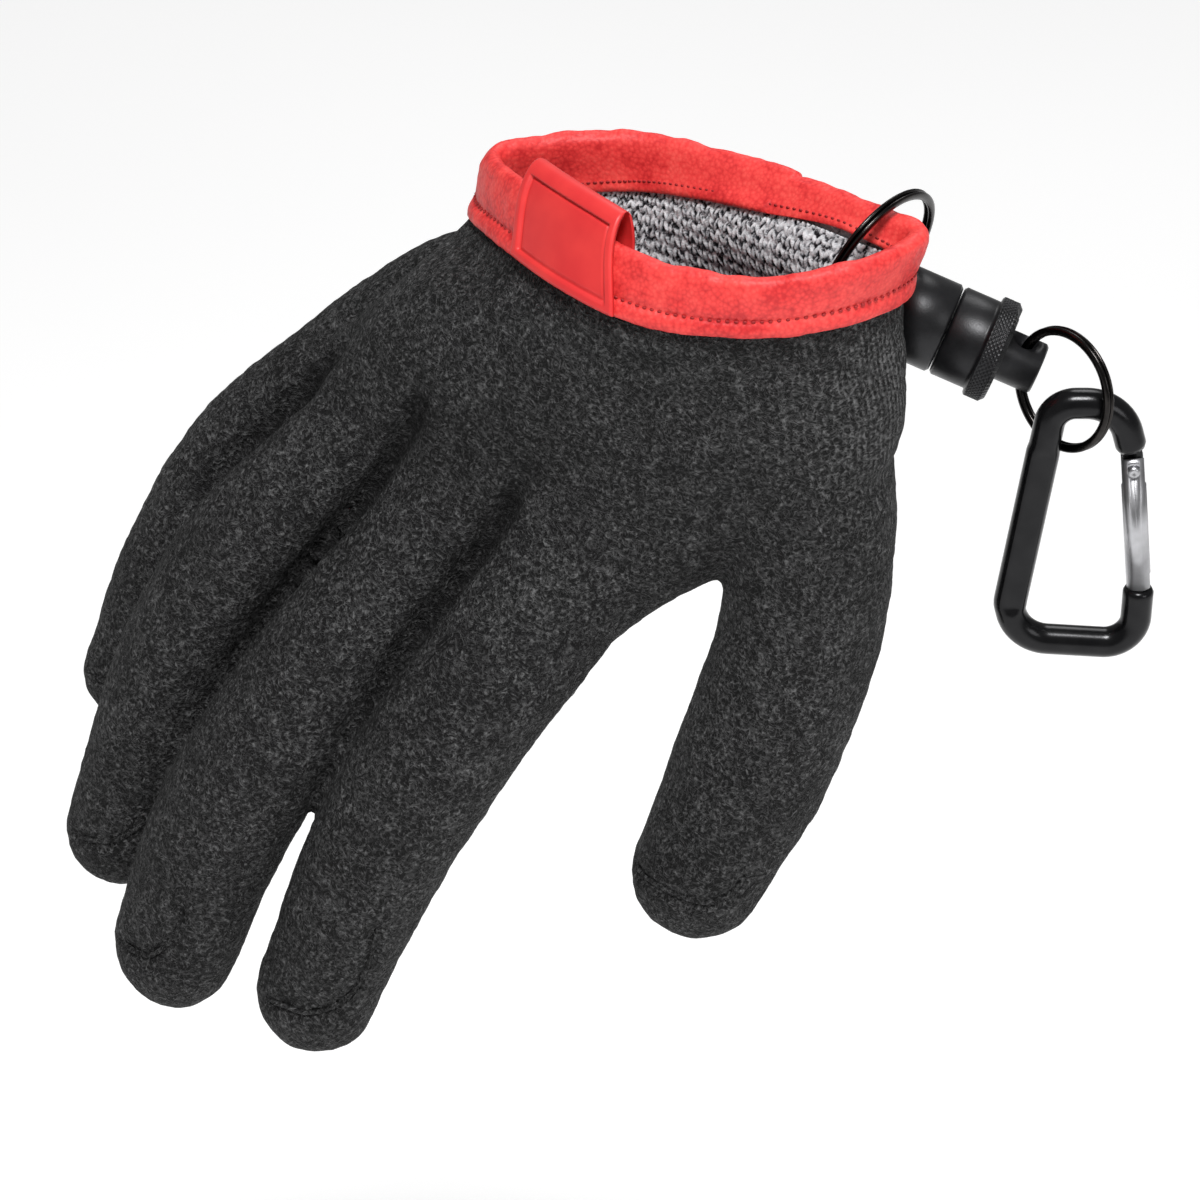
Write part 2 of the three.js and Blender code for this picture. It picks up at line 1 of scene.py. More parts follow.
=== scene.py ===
# The looks of a coated fishing glove and its magnetic release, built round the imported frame.
# Shapes are worked out in millimetres and put into Blender in metres. The frame's +Z is up out of the
# cuff, +X towards the thumb and +Y towards the palm side.

import math

import bmesh
import bpy
import numpy as np
from mathutils import Matrix, Vector, noise
from mathutils.kdtree import KDTree


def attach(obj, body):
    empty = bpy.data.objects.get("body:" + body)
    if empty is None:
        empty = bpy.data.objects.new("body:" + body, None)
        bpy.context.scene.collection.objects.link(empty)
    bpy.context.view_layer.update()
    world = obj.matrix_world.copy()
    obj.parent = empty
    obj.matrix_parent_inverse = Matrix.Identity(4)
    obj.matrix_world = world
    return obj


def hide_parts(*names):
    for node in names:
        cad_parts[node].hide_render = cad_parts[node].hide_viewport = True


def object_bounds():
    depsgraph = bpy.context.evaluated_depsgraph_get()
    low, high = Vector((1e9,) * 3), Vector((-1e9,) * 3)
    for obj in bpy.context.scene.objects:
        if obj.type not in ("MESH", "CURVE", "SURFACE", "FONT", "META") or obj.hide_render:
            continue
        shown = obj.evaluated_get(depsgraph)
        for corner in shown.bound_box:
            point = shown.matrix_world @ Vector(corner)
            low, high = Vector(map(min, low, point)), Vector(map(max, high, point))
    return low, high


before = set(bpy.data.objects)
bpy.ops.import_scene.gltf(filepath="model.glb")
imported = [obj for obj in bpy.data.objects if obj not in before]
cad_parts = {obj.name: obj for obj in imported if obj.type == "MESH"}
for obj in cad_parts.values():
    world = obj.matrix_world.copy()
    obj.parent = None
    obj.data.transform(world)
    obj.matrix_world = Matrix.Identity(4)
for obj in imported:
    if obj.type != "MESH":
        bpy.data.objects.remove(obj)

cad_low, cad_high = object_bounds()

MM = 0.001
TURN = 2 * math.pi


# The glove's own shape: the same driving sizes as the frame's solids, in mm

# The cuff's rim, a row for each twelfth of a turn: thumb end, palm side, little-finger end, back.
RIM = np.array([
    # x, y, z, flare
    (41, -12, 0, -1),
    (32.3, -1.8, 0, -5.5),
    (19, 13.1, -1.3, -6),
    (3.4, 25.1, -1.3, -4),
    (-11.9, 33.3, -1.3, -2),
    (-28.8, 32.2, -1.3, 1),
    (-40.2, 25, -1.3, 2),
    (-34.4, 7, 0.7, 4),
    (-22, -12.3, 0.7, 5),
    (-7.7, -24.3, -1.3, 3),
    (10.9, -30.3, -1.3, 1),
    (29.8, -26.7, 0.7, 0.5),
])
CUFF_SHIFT = np.array((-2, 1, -13.5))

# Sections of the hand: little-finger edge, thumb edge, thickness, squareness, turn of the palm
PALM = [
    ((-55, 22, -24), (37.5, -19, -36), 50, 2.1, 0.35),
    ((-66, 25, -36), (30, -20, -53), 46, 2.2, 0.6),
    ((-75, 30, -47), (12, -18, -66), 39, 2.3, 0.8),
    ((-81, 33, -56), (-7, -17, -77), 32, 2.4, 1),
    ((-84, 32, -68), (-20, -17, -88), 25, 2.4, 1),
]

# Sections of each finger from its root inside the palm: middle, width and depth
FINGERS = {
    "index": [(-8, -3, -50, 26, 26), (-25, -9, -73, 31, 28), (-51, -20, -107, 31, 27),
              (-66, -24, -136, 28, 25), (-76, -25, -162, 25, 22)],
    "middle": [(-21, 9, -38, 26, 26), (-44, 5, -64, 28.5, 27), (-80, -8, -106, 28.5, 26),
               (-96, -11, -134, 29, 24.5), (-105, -12, -159, 26.5, 22)],
    "ring": [(-37, 23, -31, 24, 25), (-60, 20, -54, 26, 26), (-88, 14, -80, 26, 25),
             (-105, 11, -109, 25, 23), (-117, 9, -145, 23, 21)],
    "little": [(-31, 22, -24, 14, 14), (-46, 30, -32, 21.5, 21.5), (-68, 33, -50, 23, 24),
               (-91, 31, -70, 22.5, 23), (-105, 28, -93, 22, 21), (-115, 26, -118, 20, 18.5)],
    "thumb": [(14, -9, -22, 24, 22), (20, -11, -48, 32, 36), (20, -16, -80, 32, 33),
              (10, -22, -111, 31.5, 29), (0, -27, -132, 27, 24)],
}
ACROSS_HAND = np.array((0.66, -0.64, -0.4))
ACROSS_THUMB = np.array((0.86, -0.5, 0))


def unit(v):
    v = np.asarray(v, float)
    return v / np.linalg.norm(v, axis=-1, keepdims=True)


def cubic(a, b, c, d, t):
    """Catmull-Rom between b and c."""
    return 0.5 * (2 * b + (c - a) * t + (2 * a - 5 * b + 4 * c - d) * t**2 + (3 * b - a - 3 * c + d) * t**3)


def round_curve(values, share):
    """The closed Catmull-Rom curve through a column or rows of values, at shares of a turn."""
    values = np.asarray(values, float)
    n = len(values)
    at = (np.asarray(share, float) % 1.0) * n
    i = np.floor(at).astype(int)
    t = at - i
    if values.ndim > 1:
        t = t[..., None]
    a, b, c, d = (values[(i + k) % n] for k in (-1, 0, 1, 2))
    return cubic(a, b, c, d, t)


def rim_point(share):
    return round_curve(RIM[:, :3], share)


def rim_outward(share):
    step = 0.01
    along = rim_point(share + step) - rim_point(share - step)
    return unit(np.stack([along[..., 1], -along[..., 0], 0 * along[..., 0]], axis=-1))


def cuff_foot(share):
    return rim_point(share) + CUFF_SHIFT + rim_outward(share) * round_curve(RIM[:, 3], share)[..., None]


def row_point(row, share):
    """A point of a palm section's outline. Share 0 is the thumb edge, a quarter is the palm side."""
    low, high, deep, square, tilt = row
    a, b = np.array(low, float), np.array(high, float)
    across = (b - a) / 2
    palmward = (1 - tilt) * np.array((0, 1, 0)) + tilt * np.array((0.44, 0.75, -0.5))
    down = unit(np.cross(np.cross(palmward, across), across))
    turn = TURN * np.asarray(share)[..., None]
    soft = lambda v: np.sign(v) * np.abs(v) ** (2 / square)
    return (a + b) / 2 + across * soft(np.cos(turn)) - down * (deep / 2) * soft(np.sin(turn))


LEVELS = [
    lambda share: 2 * rim_point(share) - cuff_foot(share),
    rim_point,
    cuff_foot,
] + [lambda share, row=row: row_point(row, share) for row in PALM]
LAST_LEVEL = len(LEVELS) - 2


def hand_point(level, share):
    """The hand's outer surface: level 0 is the rim, 1 the foot of the binding, then a section each."""
    last = len(LEVELS) - 1
    at = np.clip(np.asarray(level, float) + 1, 0, last)
    i = np.minimum(at.astype(int), last - 1)
    if i.ndim == 0:
        a, b, c, d = (LEVELS[min(max(i + k, 0), last)](share) for k in (-1, 0, 1, 2))
        return cubic(a, b, c, d, at - i)
    sections = np.stack([section(share) for section in LEVELS])
    order = np.arange(len(i))
    a, b, c, d = (sections[np.clip(i + k, 0, last), order] for k in (-1, 0, 1, 2))
    return cubic(a, b, c, d, (at - i)[:, None])


def wall_normal(level, share):
    step = 0.01
    along = hand_point(level, share + step) - hand_point(level, share - step)
    down = hand_point(level + step, share) - hand_point(level - step, share)
    return unit(np.cross(down, along))


def wall_point(level, share, off):
    """The hand's outer surface moved outwards by off."""
    share = np.asarray(share, float)
    off = np.asarray(off, float)
    return hand_point(level, share) + wall_normal(level, share) * off[..., None]


# Mesh helpers

def new_object(name, points, faces, smooth=True):
    mesh = bpy.data.meshes.new(name)
    mesh.from_pydata((np.asarray(points, float) * MM).tolist(), [], faces)
    mesh.validate()
    if smooth:
        mesh.shade_smooth()
    obj = bpy.data.objects.new(name, mesh)
    bpy.context.scene.collection.objects.link(obj)
    return obj


def coordinates(obj):
    co = np.empty(len(obj.data.vertices) * 3)
    obj.data.vertices.foreach_get("co", co)
    return co.reshape(-1, 3) / MM


def set_coordinates(obj, points):
    obj.data.vertices.foreach_set("co", (points * MM).ravel())
    obj.data.update()


def normals(obj):
    n = np.empty(len(obj.data.vertices) * 3)
    obj.data.vertices.foreach_get("normal", n)
    return n.reshape(-1, 3)


def strip_faces(rows, columns, wrap_rows=False, wrap_columns=True):
    """Quads of a grid of points, row after row, joined round where a wrap is asked for."""
    faces = []
    for i in range(rows if wrap_rows else rows - 1):
        for j in range(columns if wrap_columns else columns - 1):
            k = (j + 1) % columns
            m = (i + 1) % rows
            faces.append((i * columns + j, i * columns + k, m * columns + k, m * columns + j))
    return faces


def face_outward(obj):
    """Turns the faces to point out of the closed mesh."""
    bm = bmesh.new()
    bm.from_mesh(obj.data)
    bmesh.ops.recalc_face_normals(bm, faces=bm.faces)
    bm.to_mesh(obj.data)
    bm.free()
    return obj


def tube_of(name, rings):
    """A closed solid from rings of points, each with the same number, flat at both ends."""
    rings = [np.asarray(r, float) for r in rings]
    columns = len(rings[0])
    faces = strip_faces(len(rings), columns)
    faces.append(tuple(range(columns)))
    start = (len(rings) - 1) * columns
    faces.append(tuple(range(start, start + columns)))
    return face_outward(new_object(name, np.concatenate(rings), faces))


def band_of(name, sections):
    """A closed band whose sections are loops of points, the last joined to the first."""
    sections = [np.asarray(s, float) for s in sections]
    faces = strip_faces(len(sections), len(sections[0]), wrap_rows=True)
    return face_outward(new_object(name, np.concatenate(sections), faces))


def frame_matrix(origin, z, near):
    """A frame at origin with that z, and y as near as it can be to near."""
    z = unit(z)
    near = np.asarray(near, float)
    y = unit(near - z * near.dot(z))
    x = np.cross(y, z)
    m = np.eye(4)
    m[:3, 0], m[:3, 1], m[:3, 2], m[:3, 3] = x, y, z, origin
    return m


def placed(points, m):
    return np.asarray(points, float) @ m[:3, :3].T + m[:3, 3]


def lathe(name, profile, m, sides=96):
    """A turned ring from a closed profile of (radius, height)."""
    turn = TURN * np.arange(sides) / sides
    sections = []
    for angle in turn:
        loop = [(r * math.cos(angle), r * math.sin(angle), z) for r, z in profile]
        sections.append(placed(loop, m))
    return band_of(name, sections)


def apply_modifiers(obj):
    graph = bpy.context.evaluated_depsgraph_get()
    graph.update()
    mesh = bpy.data.meshes.new_from_object(obj.evaluated_get(graph))
    obj.modifiers.clear()
    old = obj.data
    obj.data = mesh
    bpy.data.meshes.remove(old)
    mesh.name = obj.name
    return obj


def cut(obj, tool, operation="DIFFERENCE"):
    """Cuts tool out of obj, or joins it, and removes the tool."""
    modifier = obj.modifiers.new("cut", "BOOLEAN")
    modifier.operation = operation
    modifier.object = tool
    modifier.solver = "MANIFOLD"
    apply_modifiers(obj)
    bpy.data.objects.remove(tool)
    obj.data.shade_smooth()
    return obj


def joined(name, objects):
    """One object from several, each with its own mesh."""
    bm = bmesh.new()
    for o in objects:
        bm.from_mesh(o.data)
    mesh = bpy.data.meshes.new(name)
    bm.to_mesh(mesh)
    bm.free()
    for o in objects:
        bpy.data.objects.remove(o)
    obj = bpy.data.objects.new(name, mesh)
    bpy.context.scene.collection.objects.link(obj)
    mesh.shade_smooth()
    return obj


def relaxed(obj, rounds, pull=0.5, push=-0.52):
    """Smooths the mesh round by round, each pull followed by a push that keeps its size."""
    edges = np.empty(len(obj.data.edges) * 2, int)
    obj.data.edges.foreach_get("vertices", edges)
    a, b = edges[0::2], edges[1::2]
    co = coordinates(obj)
    count = np.bincount(a, minlength=len(co)) + np.bincount(b, minlength=len(co))
    for _ in range(rounds):
        for share in (pull, push):
            total = np.stack([
                np.bincount(a, co[b, k], len(co)) + np.bincount(b, co[a, k], len(co)) for k in range(3)
            ], axis=1)
            co = co + share * (total / count[:, None] - co)
    set_coordinates(obj, co)
    return obj


def noise_at(points, size, seed=0.0):
    """Smooth noise between about -1 and 1, with lumps of that size in mm."""
    shift = Vector((seed * 17.3, seed * 5.1, seed * 9.7))
    return np.array([noise.noise(Vector(p) / size + shift) for p in points])


def smoothstep(low, high, x):
    t = np.clip((np.asarray(x, float) - low) / (high - low), 0, 1)
    return t * t * (3 - 2 * t)


# The hand's solids

SIDES_ROUND_PALM = 128
STEPS_PER_LEVEL = 10
SIDES_ROUND_FINGER = 56
STEPS_PER_FINGER_ROW = 10
DOME_ANGLES = (12, 24, 36, 48, 60, 70, 79, 85)


def finger_path(rows):
    """A centripetal Catmull-Rom curve through the sections' middles, with its sizes."""
    middles = np.array([r[:3] for r in rows], float)
    sizes = np.array([r[3:] for r in rows], float)
    ends = [2 * middles[0] - middles[1], *middles, 2 * middles[-1] - middles[-2]]
    size_ends = [sizes[0], *sizes, sizes[-1]]
    points, widths = [], []
    for i in range(len(rows) - 1):
        p = [np.array(ends[i + k], float) for k in range(4)]
        knots = np.cumsum([0] + [math.sqrt(np.linalg.norm(p[k + 1] - p[k])) for k in range(3)])
        for j in range(STEPS_PER_FINGER_ROW + (i == len(rows) - 2)):
            share = j / STEPS_PER_FINGER_ROW
            t = knots[1] + share * (knots[2] - knots[1])
            a = [((knots[k + 1] - t) * p[k] + (t - knots[k]) * p[k + 1]) / (knots[k + 1] - knots[k])
                 for k in range(3)]
            b = [((knots[k + 2] - t) * a[k] + (t - knots[k]) * a[k + 1]) / (knots[k + 2] - knots[k])
                 for k in range(2)]
            points.append(((knots[2] - t) * b[0] + (t - knots[1]) * b[1]) / (knots[2] - knots[1]))
            widths.append(cubic(*[np.array(size_ends[i + k]) for k in range(4)], share))
    return np.array(points), np.array(widths)


def finger_solid(rows, across_hand, inset):
    path, sizes = finger_path(rows)
    tangents = unit(np.gradient(path, axis=0))
    turn = TURN * np.arange(SIDES_ROUND_FINGER) / SIDES_ROUND_FINGER

    def ring(middle, tangent, wide, deep):
        across = unit(across_hand - tangent * across_hand.dot(tangent))
        thick = np.cross(tangent, across)
        return (middle + np.outer(np.cos(turn), across) * (wide / 2 - inset)
                + np.outer(np.sin(turn), thick) * (deep / 2 - inset))

    rings = [ring(p, t, *s) for p, t, s in zip(path, tangents, sizes)]
    ahead, (wide, deep) = tangents[-1], sizes[-1]
    for angle in np.radians(DOME_ANGLES):
        middle = path[-1] + ahead * (wide / 2 - inset) * math.sin(angle)
        rings.append(ring(middle, ahead, (wide - 2 * inset) * math.cos(angle) + 2 * inset,
                          (deep - 2 * inset) * math.cos(angle) + 2 * inset))
    return tube_of("finger", rings)


def palm_solid(inset, top):
    levels = np.linspace(top, LAST_LEVEL, round((LAST_LEVEL - top) * STEPS_PER_LEVEL) + 1)
    share = np.arange(SIDES_ROUND_PALM) / SIDES_ROUND_PALM
    return tube_of("palm", [wall_point(level, share, -inset + 0 * share) for level in levels])


# Creases between neighbouring fingers, pressed in a part at a time with a smoothing after each
CREASES = [
    # fingers, where along the first it begins and is whole, where it fades out, depth, half width
    ("index", "middle", 0.16, 0.24, 0.6, 4.0, 2.8),
    ("middle", "ring", 0.16, 0.24, 0.58, 3.8, 2.8),
    ("ring", "little", 0.15, 0.25, 0.56, 3.6, 2.7),
]
CREASE_STEPS = 4
CREASE_FADE = 0.2
# The crease depth in mm at which the painted shade in the creases is full
CREASE_SHADED = 3.6
# How much deeper the creases go for each mm that a mesh is drawn in, and how much more fingers are drawn in
CREASE_DEEPER = 0.35
FINGER_WALL = 3


def finger_reach(points, rows):
    """How far each point lies outside that finger, in mm, and its place along it from 0 to 1."""
    path, sizes = finger_path(rows)
    reach = np.full(len(points), np.inf)
    along = np.zeros(len(points))
    for k, (middle, size) in enumerate(zip(path, sizes)):
        distance = np.linalg.norm(points - middle, axis=1) - size.mean() / 2
        nearer = distance < reach
        reach[nearer] = distance[nearer]
        along[nearer] = k / (len(path) - 1)
    return reach, along


def crease_depth(co):
    """How deep the creases between the fingers go at each point, in mm."""
    press = np.zeros(len(co))
    for first, second, begins, whole, fades, deep, wide in CREASES:
        reach, along = finger_reach(co, FINGERS[first])
        other, _ = finger_reach(co, FINGERS[second])
        near = np.exp(-(((reach - other) / wide) ** 2))
        fade = smoothstep(begins, whole, along) * smoothstep(fades, fades - CREASE_FADE, along)
        press += deep * near * fade
    return press


def creased(obj, part):
    """Presses in that part of the creases."""
    co = coordinates(obj)
    set_coordinates(obj, co - normals(obj) * part * crease_depth(co)[:, None])
    return obj


# The seams that close the fingertips: places on the back of the last section, along and across it in mm
TIP_SEAMS = {
    "index": [(2.5, -4), (0.5, 1), (-0.8, 5.5), (-4.8, 9.5), (-10, 11.1), (-17.2, 11.1), (-25, 10.4)],
    "middle": [(1.5, -6), (0.8, -2), (-0.4, 1.6), (-4, 4.2), (-8.6, 5.8), (-14.5, 5.4)],
    "ring": [(1.5, -3), (-0.5, 2.5), (-2.8, 6.1), (-5.6, 8.1), (-10, 9.7), (-14.8, 9.7)],
    "little": [(1.5, -3), (0.5, 2), (-2, 5), (-6, 6.5)],
    "thumb": [(4, -10), (4.4, -6.5), (4, -3.5), (3.6, 1), (3.2, 4.1), (1.6, 9), (-1.6, 11.2), (-6, 11.8)],
}


def seam_points(finger):
    """The middle line of a fingertip's seam, near the surface."""
    rows = FINGERS[finger]
    path, sizes = finger_path(rows)
    tangent = unit(path[-1] - path[-2])
    across_hand = ACROSS_THUMB if finger == "thumb" else ACROSS_HAND
    across = unit(across_hand - tangent * across_hand.dot(tangent))
    out = np.cross(tangent, across)
    half, deep = sizes[-1] / 2
    points = []
    for along, aside in TIP_SEAMS[finger]:
        round_end = math.sqrt(1 - min(max(along, 0) / half, 0.95) ** 2)
        rise = deep * round_end * math.sqrt(max(1 - (aside / (half * round_end)) ** 2, 0.04))
        points.append(path[-1] + across * aside + tangent * along + out * rise)
    ends = np.array([2 * points[0] - points[1], *points, 2 * points[-1] - points[-2]])
    fine = []
    for i in range(len(points) - 1):
        count = max(4, int(np.linalg.norm(points[i + 1] - points[i]) / 0.5))
        fine += [cubic(*ends[i:i + 4], j / count) for j in range(count)]
    return np.array([*fine, points[-1]])


def on_surface(obj, points):
    """The points moved to the nearest place of the mesh, with its normal there."""
    places, outs = [], []
    for point in points:
        _, place, normal, _ = obj.closest_point_on_mesh(Vector(point * MM))
        places.append(np.array(place) / MM)
        outs.append(np.array(normal))
    return np.array(places), np.array(outs)


def hand_solid(name, inset, top, voxel, rounds):
    """The palm and the fingers as one smooth closed mesh, drawn in by inset, from that level down."""
    parts = [palm_solid(inset, top)]
    for finger, rows in FINGERS.items():
        across_hand = ACROSS_THUMB if finger == "thumb" else ACROSS_HAND
        parts.append(finger_solid(rows, across_hand, inset * FINGER_WALL))
    hand = joined(name, parts)
    remesh = hand.modifiers.new("remesh", "REMESH")
    remesh.mode = "VOXEL"
    remesh.voxel_size = voxel * MM
    apply_modifiers(hand)
    relaxed(hand, 3)
    for _ in range(CREASE_STEPS):
        creased(hand, (1 + inset * CREASE_DEEPER) / CREASE_STEPS)
        relaxed(hand, 2)
    relaxed(hand, rounds)
    hand.data.shade_smooth()
    return hand


# Materials: a small builder for node trees

RIB_ACROSS = (0.61, 0.79, 0.1)
RIB_PITCH = 1.25
RIB_PLACE = (0.038, -0.022, -0.03)
RIB_REACH = 34
PEBBLE = 0.85


class Finish:
    def __init__(self, name, **sockets):
        self.material = bpy.data.materials.new(name)
        self.material.use_nodes = True
        self.tree = self.material.node_tree
        self.shader = self.tree.nodes["Principled BSDF"]
        for socket, value in sockets.items():
            self.shader.inputs[socket.replace("_", " ")].default_value = value

    def node(self, kind, inputs=(), **settings):
        made = self.tree.nodes.new("ShaderNode" + kind)
        for key, value in settings.items():
            setattr(made, key, value)
        for key, value in dict(inputs).items():
            if isinstance(value, bpy.types.NodeSocket):
                self.tree.links.new(value, made.inputs[key])
            else:
                made.inputs[key].default_value = value
        return made

    def link(self, socket, name):
        self.tree.links.new(socket, self.shader.inputs[name])

    def place(self):
        return self.node("TexCoord").outputs["Object"]

    def noise(self, size, detail=2.0, distortion=0.0):
        """Noise with lumps of about that size in mm."""
        made = self.node("TexNoise", {"Vector": self.place(), "Scale": 1000 / size,
                                      "Detail": detail, "Distortion": distortion})
        return made.outputs["Fac"]

    def math(self, operation, a, b=0.0, clamp=False):
        made = self.node("Math", {0: a, 1: b}, operation=operation, use_clamp=clamp)
        return made.outputs[0]

    def ramp(self, fac, stops):
        made = self.node("ValToRGB", {"Fac": fac})
        elements = made.color_ramp.elements
        for (at, colour), element in zip(stops, [elements[0], elements[1]]):
            element.position = at
            element.color = (*colour, 1)
        for at, colour in stops[2:]:
            elements.new(at).color = (*colour, 1)
        return made.outputs["Color"]

    def ridges(self, fac, sharp):
        """1 along the middle values of a noise and 0 away from them: winding ridges."""
        off = self.math("ABSOLUTE", self.math("SUBTRACT", fac, 0.5))
        return self.math("SUBTRACT", 1.0, self.math("MULTIPLY", off, sharp), clamp=True)

    def ribs(self):
        """The knit's ribs, which show through the thin coating under the cuff's thumb side: 0 to 1."""
        place = self.place()
        across = self.node("VectorMath", {0: place, 1: RIB_ACROSS}, operation="DOT_PRODUCT")
        across = across.outputs["Value"]
        wave = self.math("SINE", self.math("MULTIPLY", across, TURN * 1000 / RIB_PITCH))
        away = self.node("VectorMath", {0: place, 1: RIB_PLACE}, operation="DISTANCE").outputs["Value"]
        near = self.math("SUBTRACT", 1.0, self.math("MULTIPLY", away, 1000 / RIB_REACH), clamp=True)
        return self.math("MULTIPLY", self.math("ADD", self.math("MULTIPLY", wave, 0.5), 0.5), near)

    def bump(self, height, depth, strength=1.0):
        """Bump of a 0-to-1 height that is depth mm high."""
        inputs = {"Height": height, "Distance": depth * MM, "Strength": strength}
        return self.node("Bump", inputs).outputs["Normal"]


def coating_finish():
    """Matt crinkled latex: fine winding ridges, paler with their height, over dark pits, with painted shade
    in the creases between the fingers.
    """
    f = Finish("crinkled_latex", Roughness=0.8, Specular_IOR_Level=0.25)
    broad = f.noise(22, 3)
    patches = f.noise(4.5, 2)
    coarse_worms = f.ridges(f.noise(2.3, 1.2, 1.8), 8.5)
    fine_worms = f.ridges(f.noise(1.65, 1.2, 1.4), 9.5)
    worms = f.math("MAXIMUM", coarse_worms, fine_worms)
    pits = f.math("SUBTRACT", f.math("MULTIPLY", f.noise(0.85, 1.5), 2.4), 0.7, clamp=True)
    height = f.math("ADD", f.math("MULTIPLY", worms, 0.55), f.math("MULTIPLY", pits, 0.45))
    height = f.math("ADD", height, f.math("MULTIPLY", f.ribs(), 0.35))
    # The tone rises with the height, so the ridges are paler and the pits darker. It also varies at random
    # in broad patches.
    tone = f.math("ADD", f.math("MULTIPLY", height, 0.8), f.math("MULTIPLY", broad, 0.2))
    tone = f.math("ADD", tone, f.math("MULTIPLY", patches, 0.2))
    # Painted shade: the coating is made darker in the creases between the fingers by the hollow attribute,
    # which build_shell stores from the crease depth.
    hollow = f.node("Attribute", attribute_name="hollow").outputs["Fac"]
    tone = f.math("SUBTRACT", tone, f.math("MULTIPLY", hollow, 0.2))
    colour = f.ramp(tone, [
        (0.38, (0.0035, 0.0035, 0.0036)), (1.0, (0.135, 0.135, 0.136)),
        (0.58, (0.016, 0.016, 0.0163)), (0.78, (0.048, 0.048, 0.0485))])
    f.link(colour, "Base Color")
    f.link(f.bump(height, 0.8, 1.0), "Normal")
    return f.material


def knit_finish():
    """Marled yarn: pale grey with dark flecks along the yarn."""
    f = Finish("marled_knit", Roughness=0.95, Specular_IOR_Level=0.2)
    fleck = f.noise(1.6, 3, 0.8)
    fibre = f.noise(0.32, 2)
    tone = f.math("ADD", f.math("MULTIPLY", fleck, 0.8), f.math("MULTIPLY", fibre, 0.2))
    colour = f.ramp(tone, [(0.36, (0.02, 0.02, 0.022)), (0.45, (0.36, 0.37, 0.39)),
                           (0.6, (0.58, 0.59, 0.61))])
    f.link(colour, "Base Color")
    f.link(f.bump(fibre, 0.2, 0.8), "Normal")
    return f.material


def loops_finish():
    """The same yarn on the modelled loops, with painted shade making the hollows between the raised loops
    dark.
    """
    f = Finish("marled_loops", Roughness=0.95, Specular_IOR_Level=0.2)
    raised = f.node("Attribute", attribute_name="raised").outputs["Fac"]
    fleck = f.math("SUBTRACT", f.math("MULTIPLY", f.noise(1.5, 2, 0.8), 3.0), 1.0, clamp=True)
    fibre = f.noise(0.3, 2)
    # Painted shade: the tone falls with the yarn's height, so the hollows between the loops are dark. The
    # flecks are the yarn's own marl.
    tone = f.math("ADD", f.math("MULTIPLY", raised, 0.6), f.math("MULTIPLY", fleck, 0.6))
    tone = f.math("ADD", tone, f.math("MULTIPLY", fibre, 0.35))
    colour = f.ramp(f.math("MULTIPLY", tone, 0.72), [
        (0.3, (0.006, 0.006, 0.008)), (0.9, (0.88, 0.89, 0.91)),
        (0.44, (0.1, 0.1, 0.11)), (0.54, (0.46, 0.47, 0.49)), (0.7, (0.68, 0.69, 0.71))])
    f.link(colour, "Base Color")
    f.link(f.bump(fibre, 0.25, 0.8), "Normal")
    return f.material


def binding_finish():
    """Finely pebbled red leather-like cloth, with painted highlights on its pebbles."""
    f = Finish("red_binding", Roughness=0.5, Specular_IOR_Level=0.4)
    cells = f.node("TexVoronoi", {"Vector": f.place(), "Scale": 1000 / PEBBLE}, feature="F1")
    pebble = f.math("SUBTRACT", 1.0, cells.outputs["Distance"], clamp=True)
    grain = f.noise(0.45, 3)
    broad = f.noise(7, 3)
    height = f.math("ADD", f.math("MULTIPLY", pebble, 0.6), f.math("MULTIPLY", grain, 0.4))
    # Broad random tone, plus painted highlight: the pebble tops and grain are made paler with their height,
    # and the grooves between them are darker.
    tone = f.math("ADD", f.math("MULTIPLY", broad, 0.6), f.math("MULTIPLY", height, 0.4))
    colour = f.ramp(tone, [
        (0.34, (0.60, 0.02, 0.023)), (0.68, (0.96, 0.095, 0.08)), (0.5, (0.84, 0.05, 0.047))])
    f.link(colour, "Base Color")
    f.link(f.bump(height, 0.2, 0.6), "Normal")
    return f.material


def rubber_finish():
    f = Finish("red_rubber", Roughness=0.42, Specular_IOR_Level=0.45)
    broad = f.noise(7, 2)
    grain = f.noise(0.25, 2)
    f.link(f.ramp(broad, [(0.3, (0.72, 0.032, 0.034)), (0.7, (0.80, 0.045, 0.042))]), "Base Color")
    f.link(f.bump(grain, 0.03, 0.6), "Normal")
    return f.material


def thread_finish():
    f = Finish("dark_red_thread", Roughness=0.7)
    colour = f.ramp(f.noise(0.3, 2), [(0.3, (0.26, 0.008, 0.010)), (0.7, (0.40, 0.018, 0.020))])
    f.link(colour, "Base Color")
    return f.material


def grey(value, blue=None):
    """A grey, or with another value for its blue."""
    return (value, value, value if blue is None else blue)


def metal_finish(name, dark, light, rough, metallic, scratch=0.04):
    """Metal or anodised metal with faint mottling in colour and gloss."""
    f = Finish(name, Metallic=metallic)
    broad = f.noise(4, 3)
    fine = f.noise(0.35, 3)
    f.link(f.ramp(broad, [(0.3, dark), (0.7, light)]), "Base Color")
    f.link(f.math("ADD", rough - 0.05, f.math("MULTIPLY", fine, 0.12)), "Roughness")
    f.link(f.bump(fine, scratch, 0.5), "Normal")
    return f.material


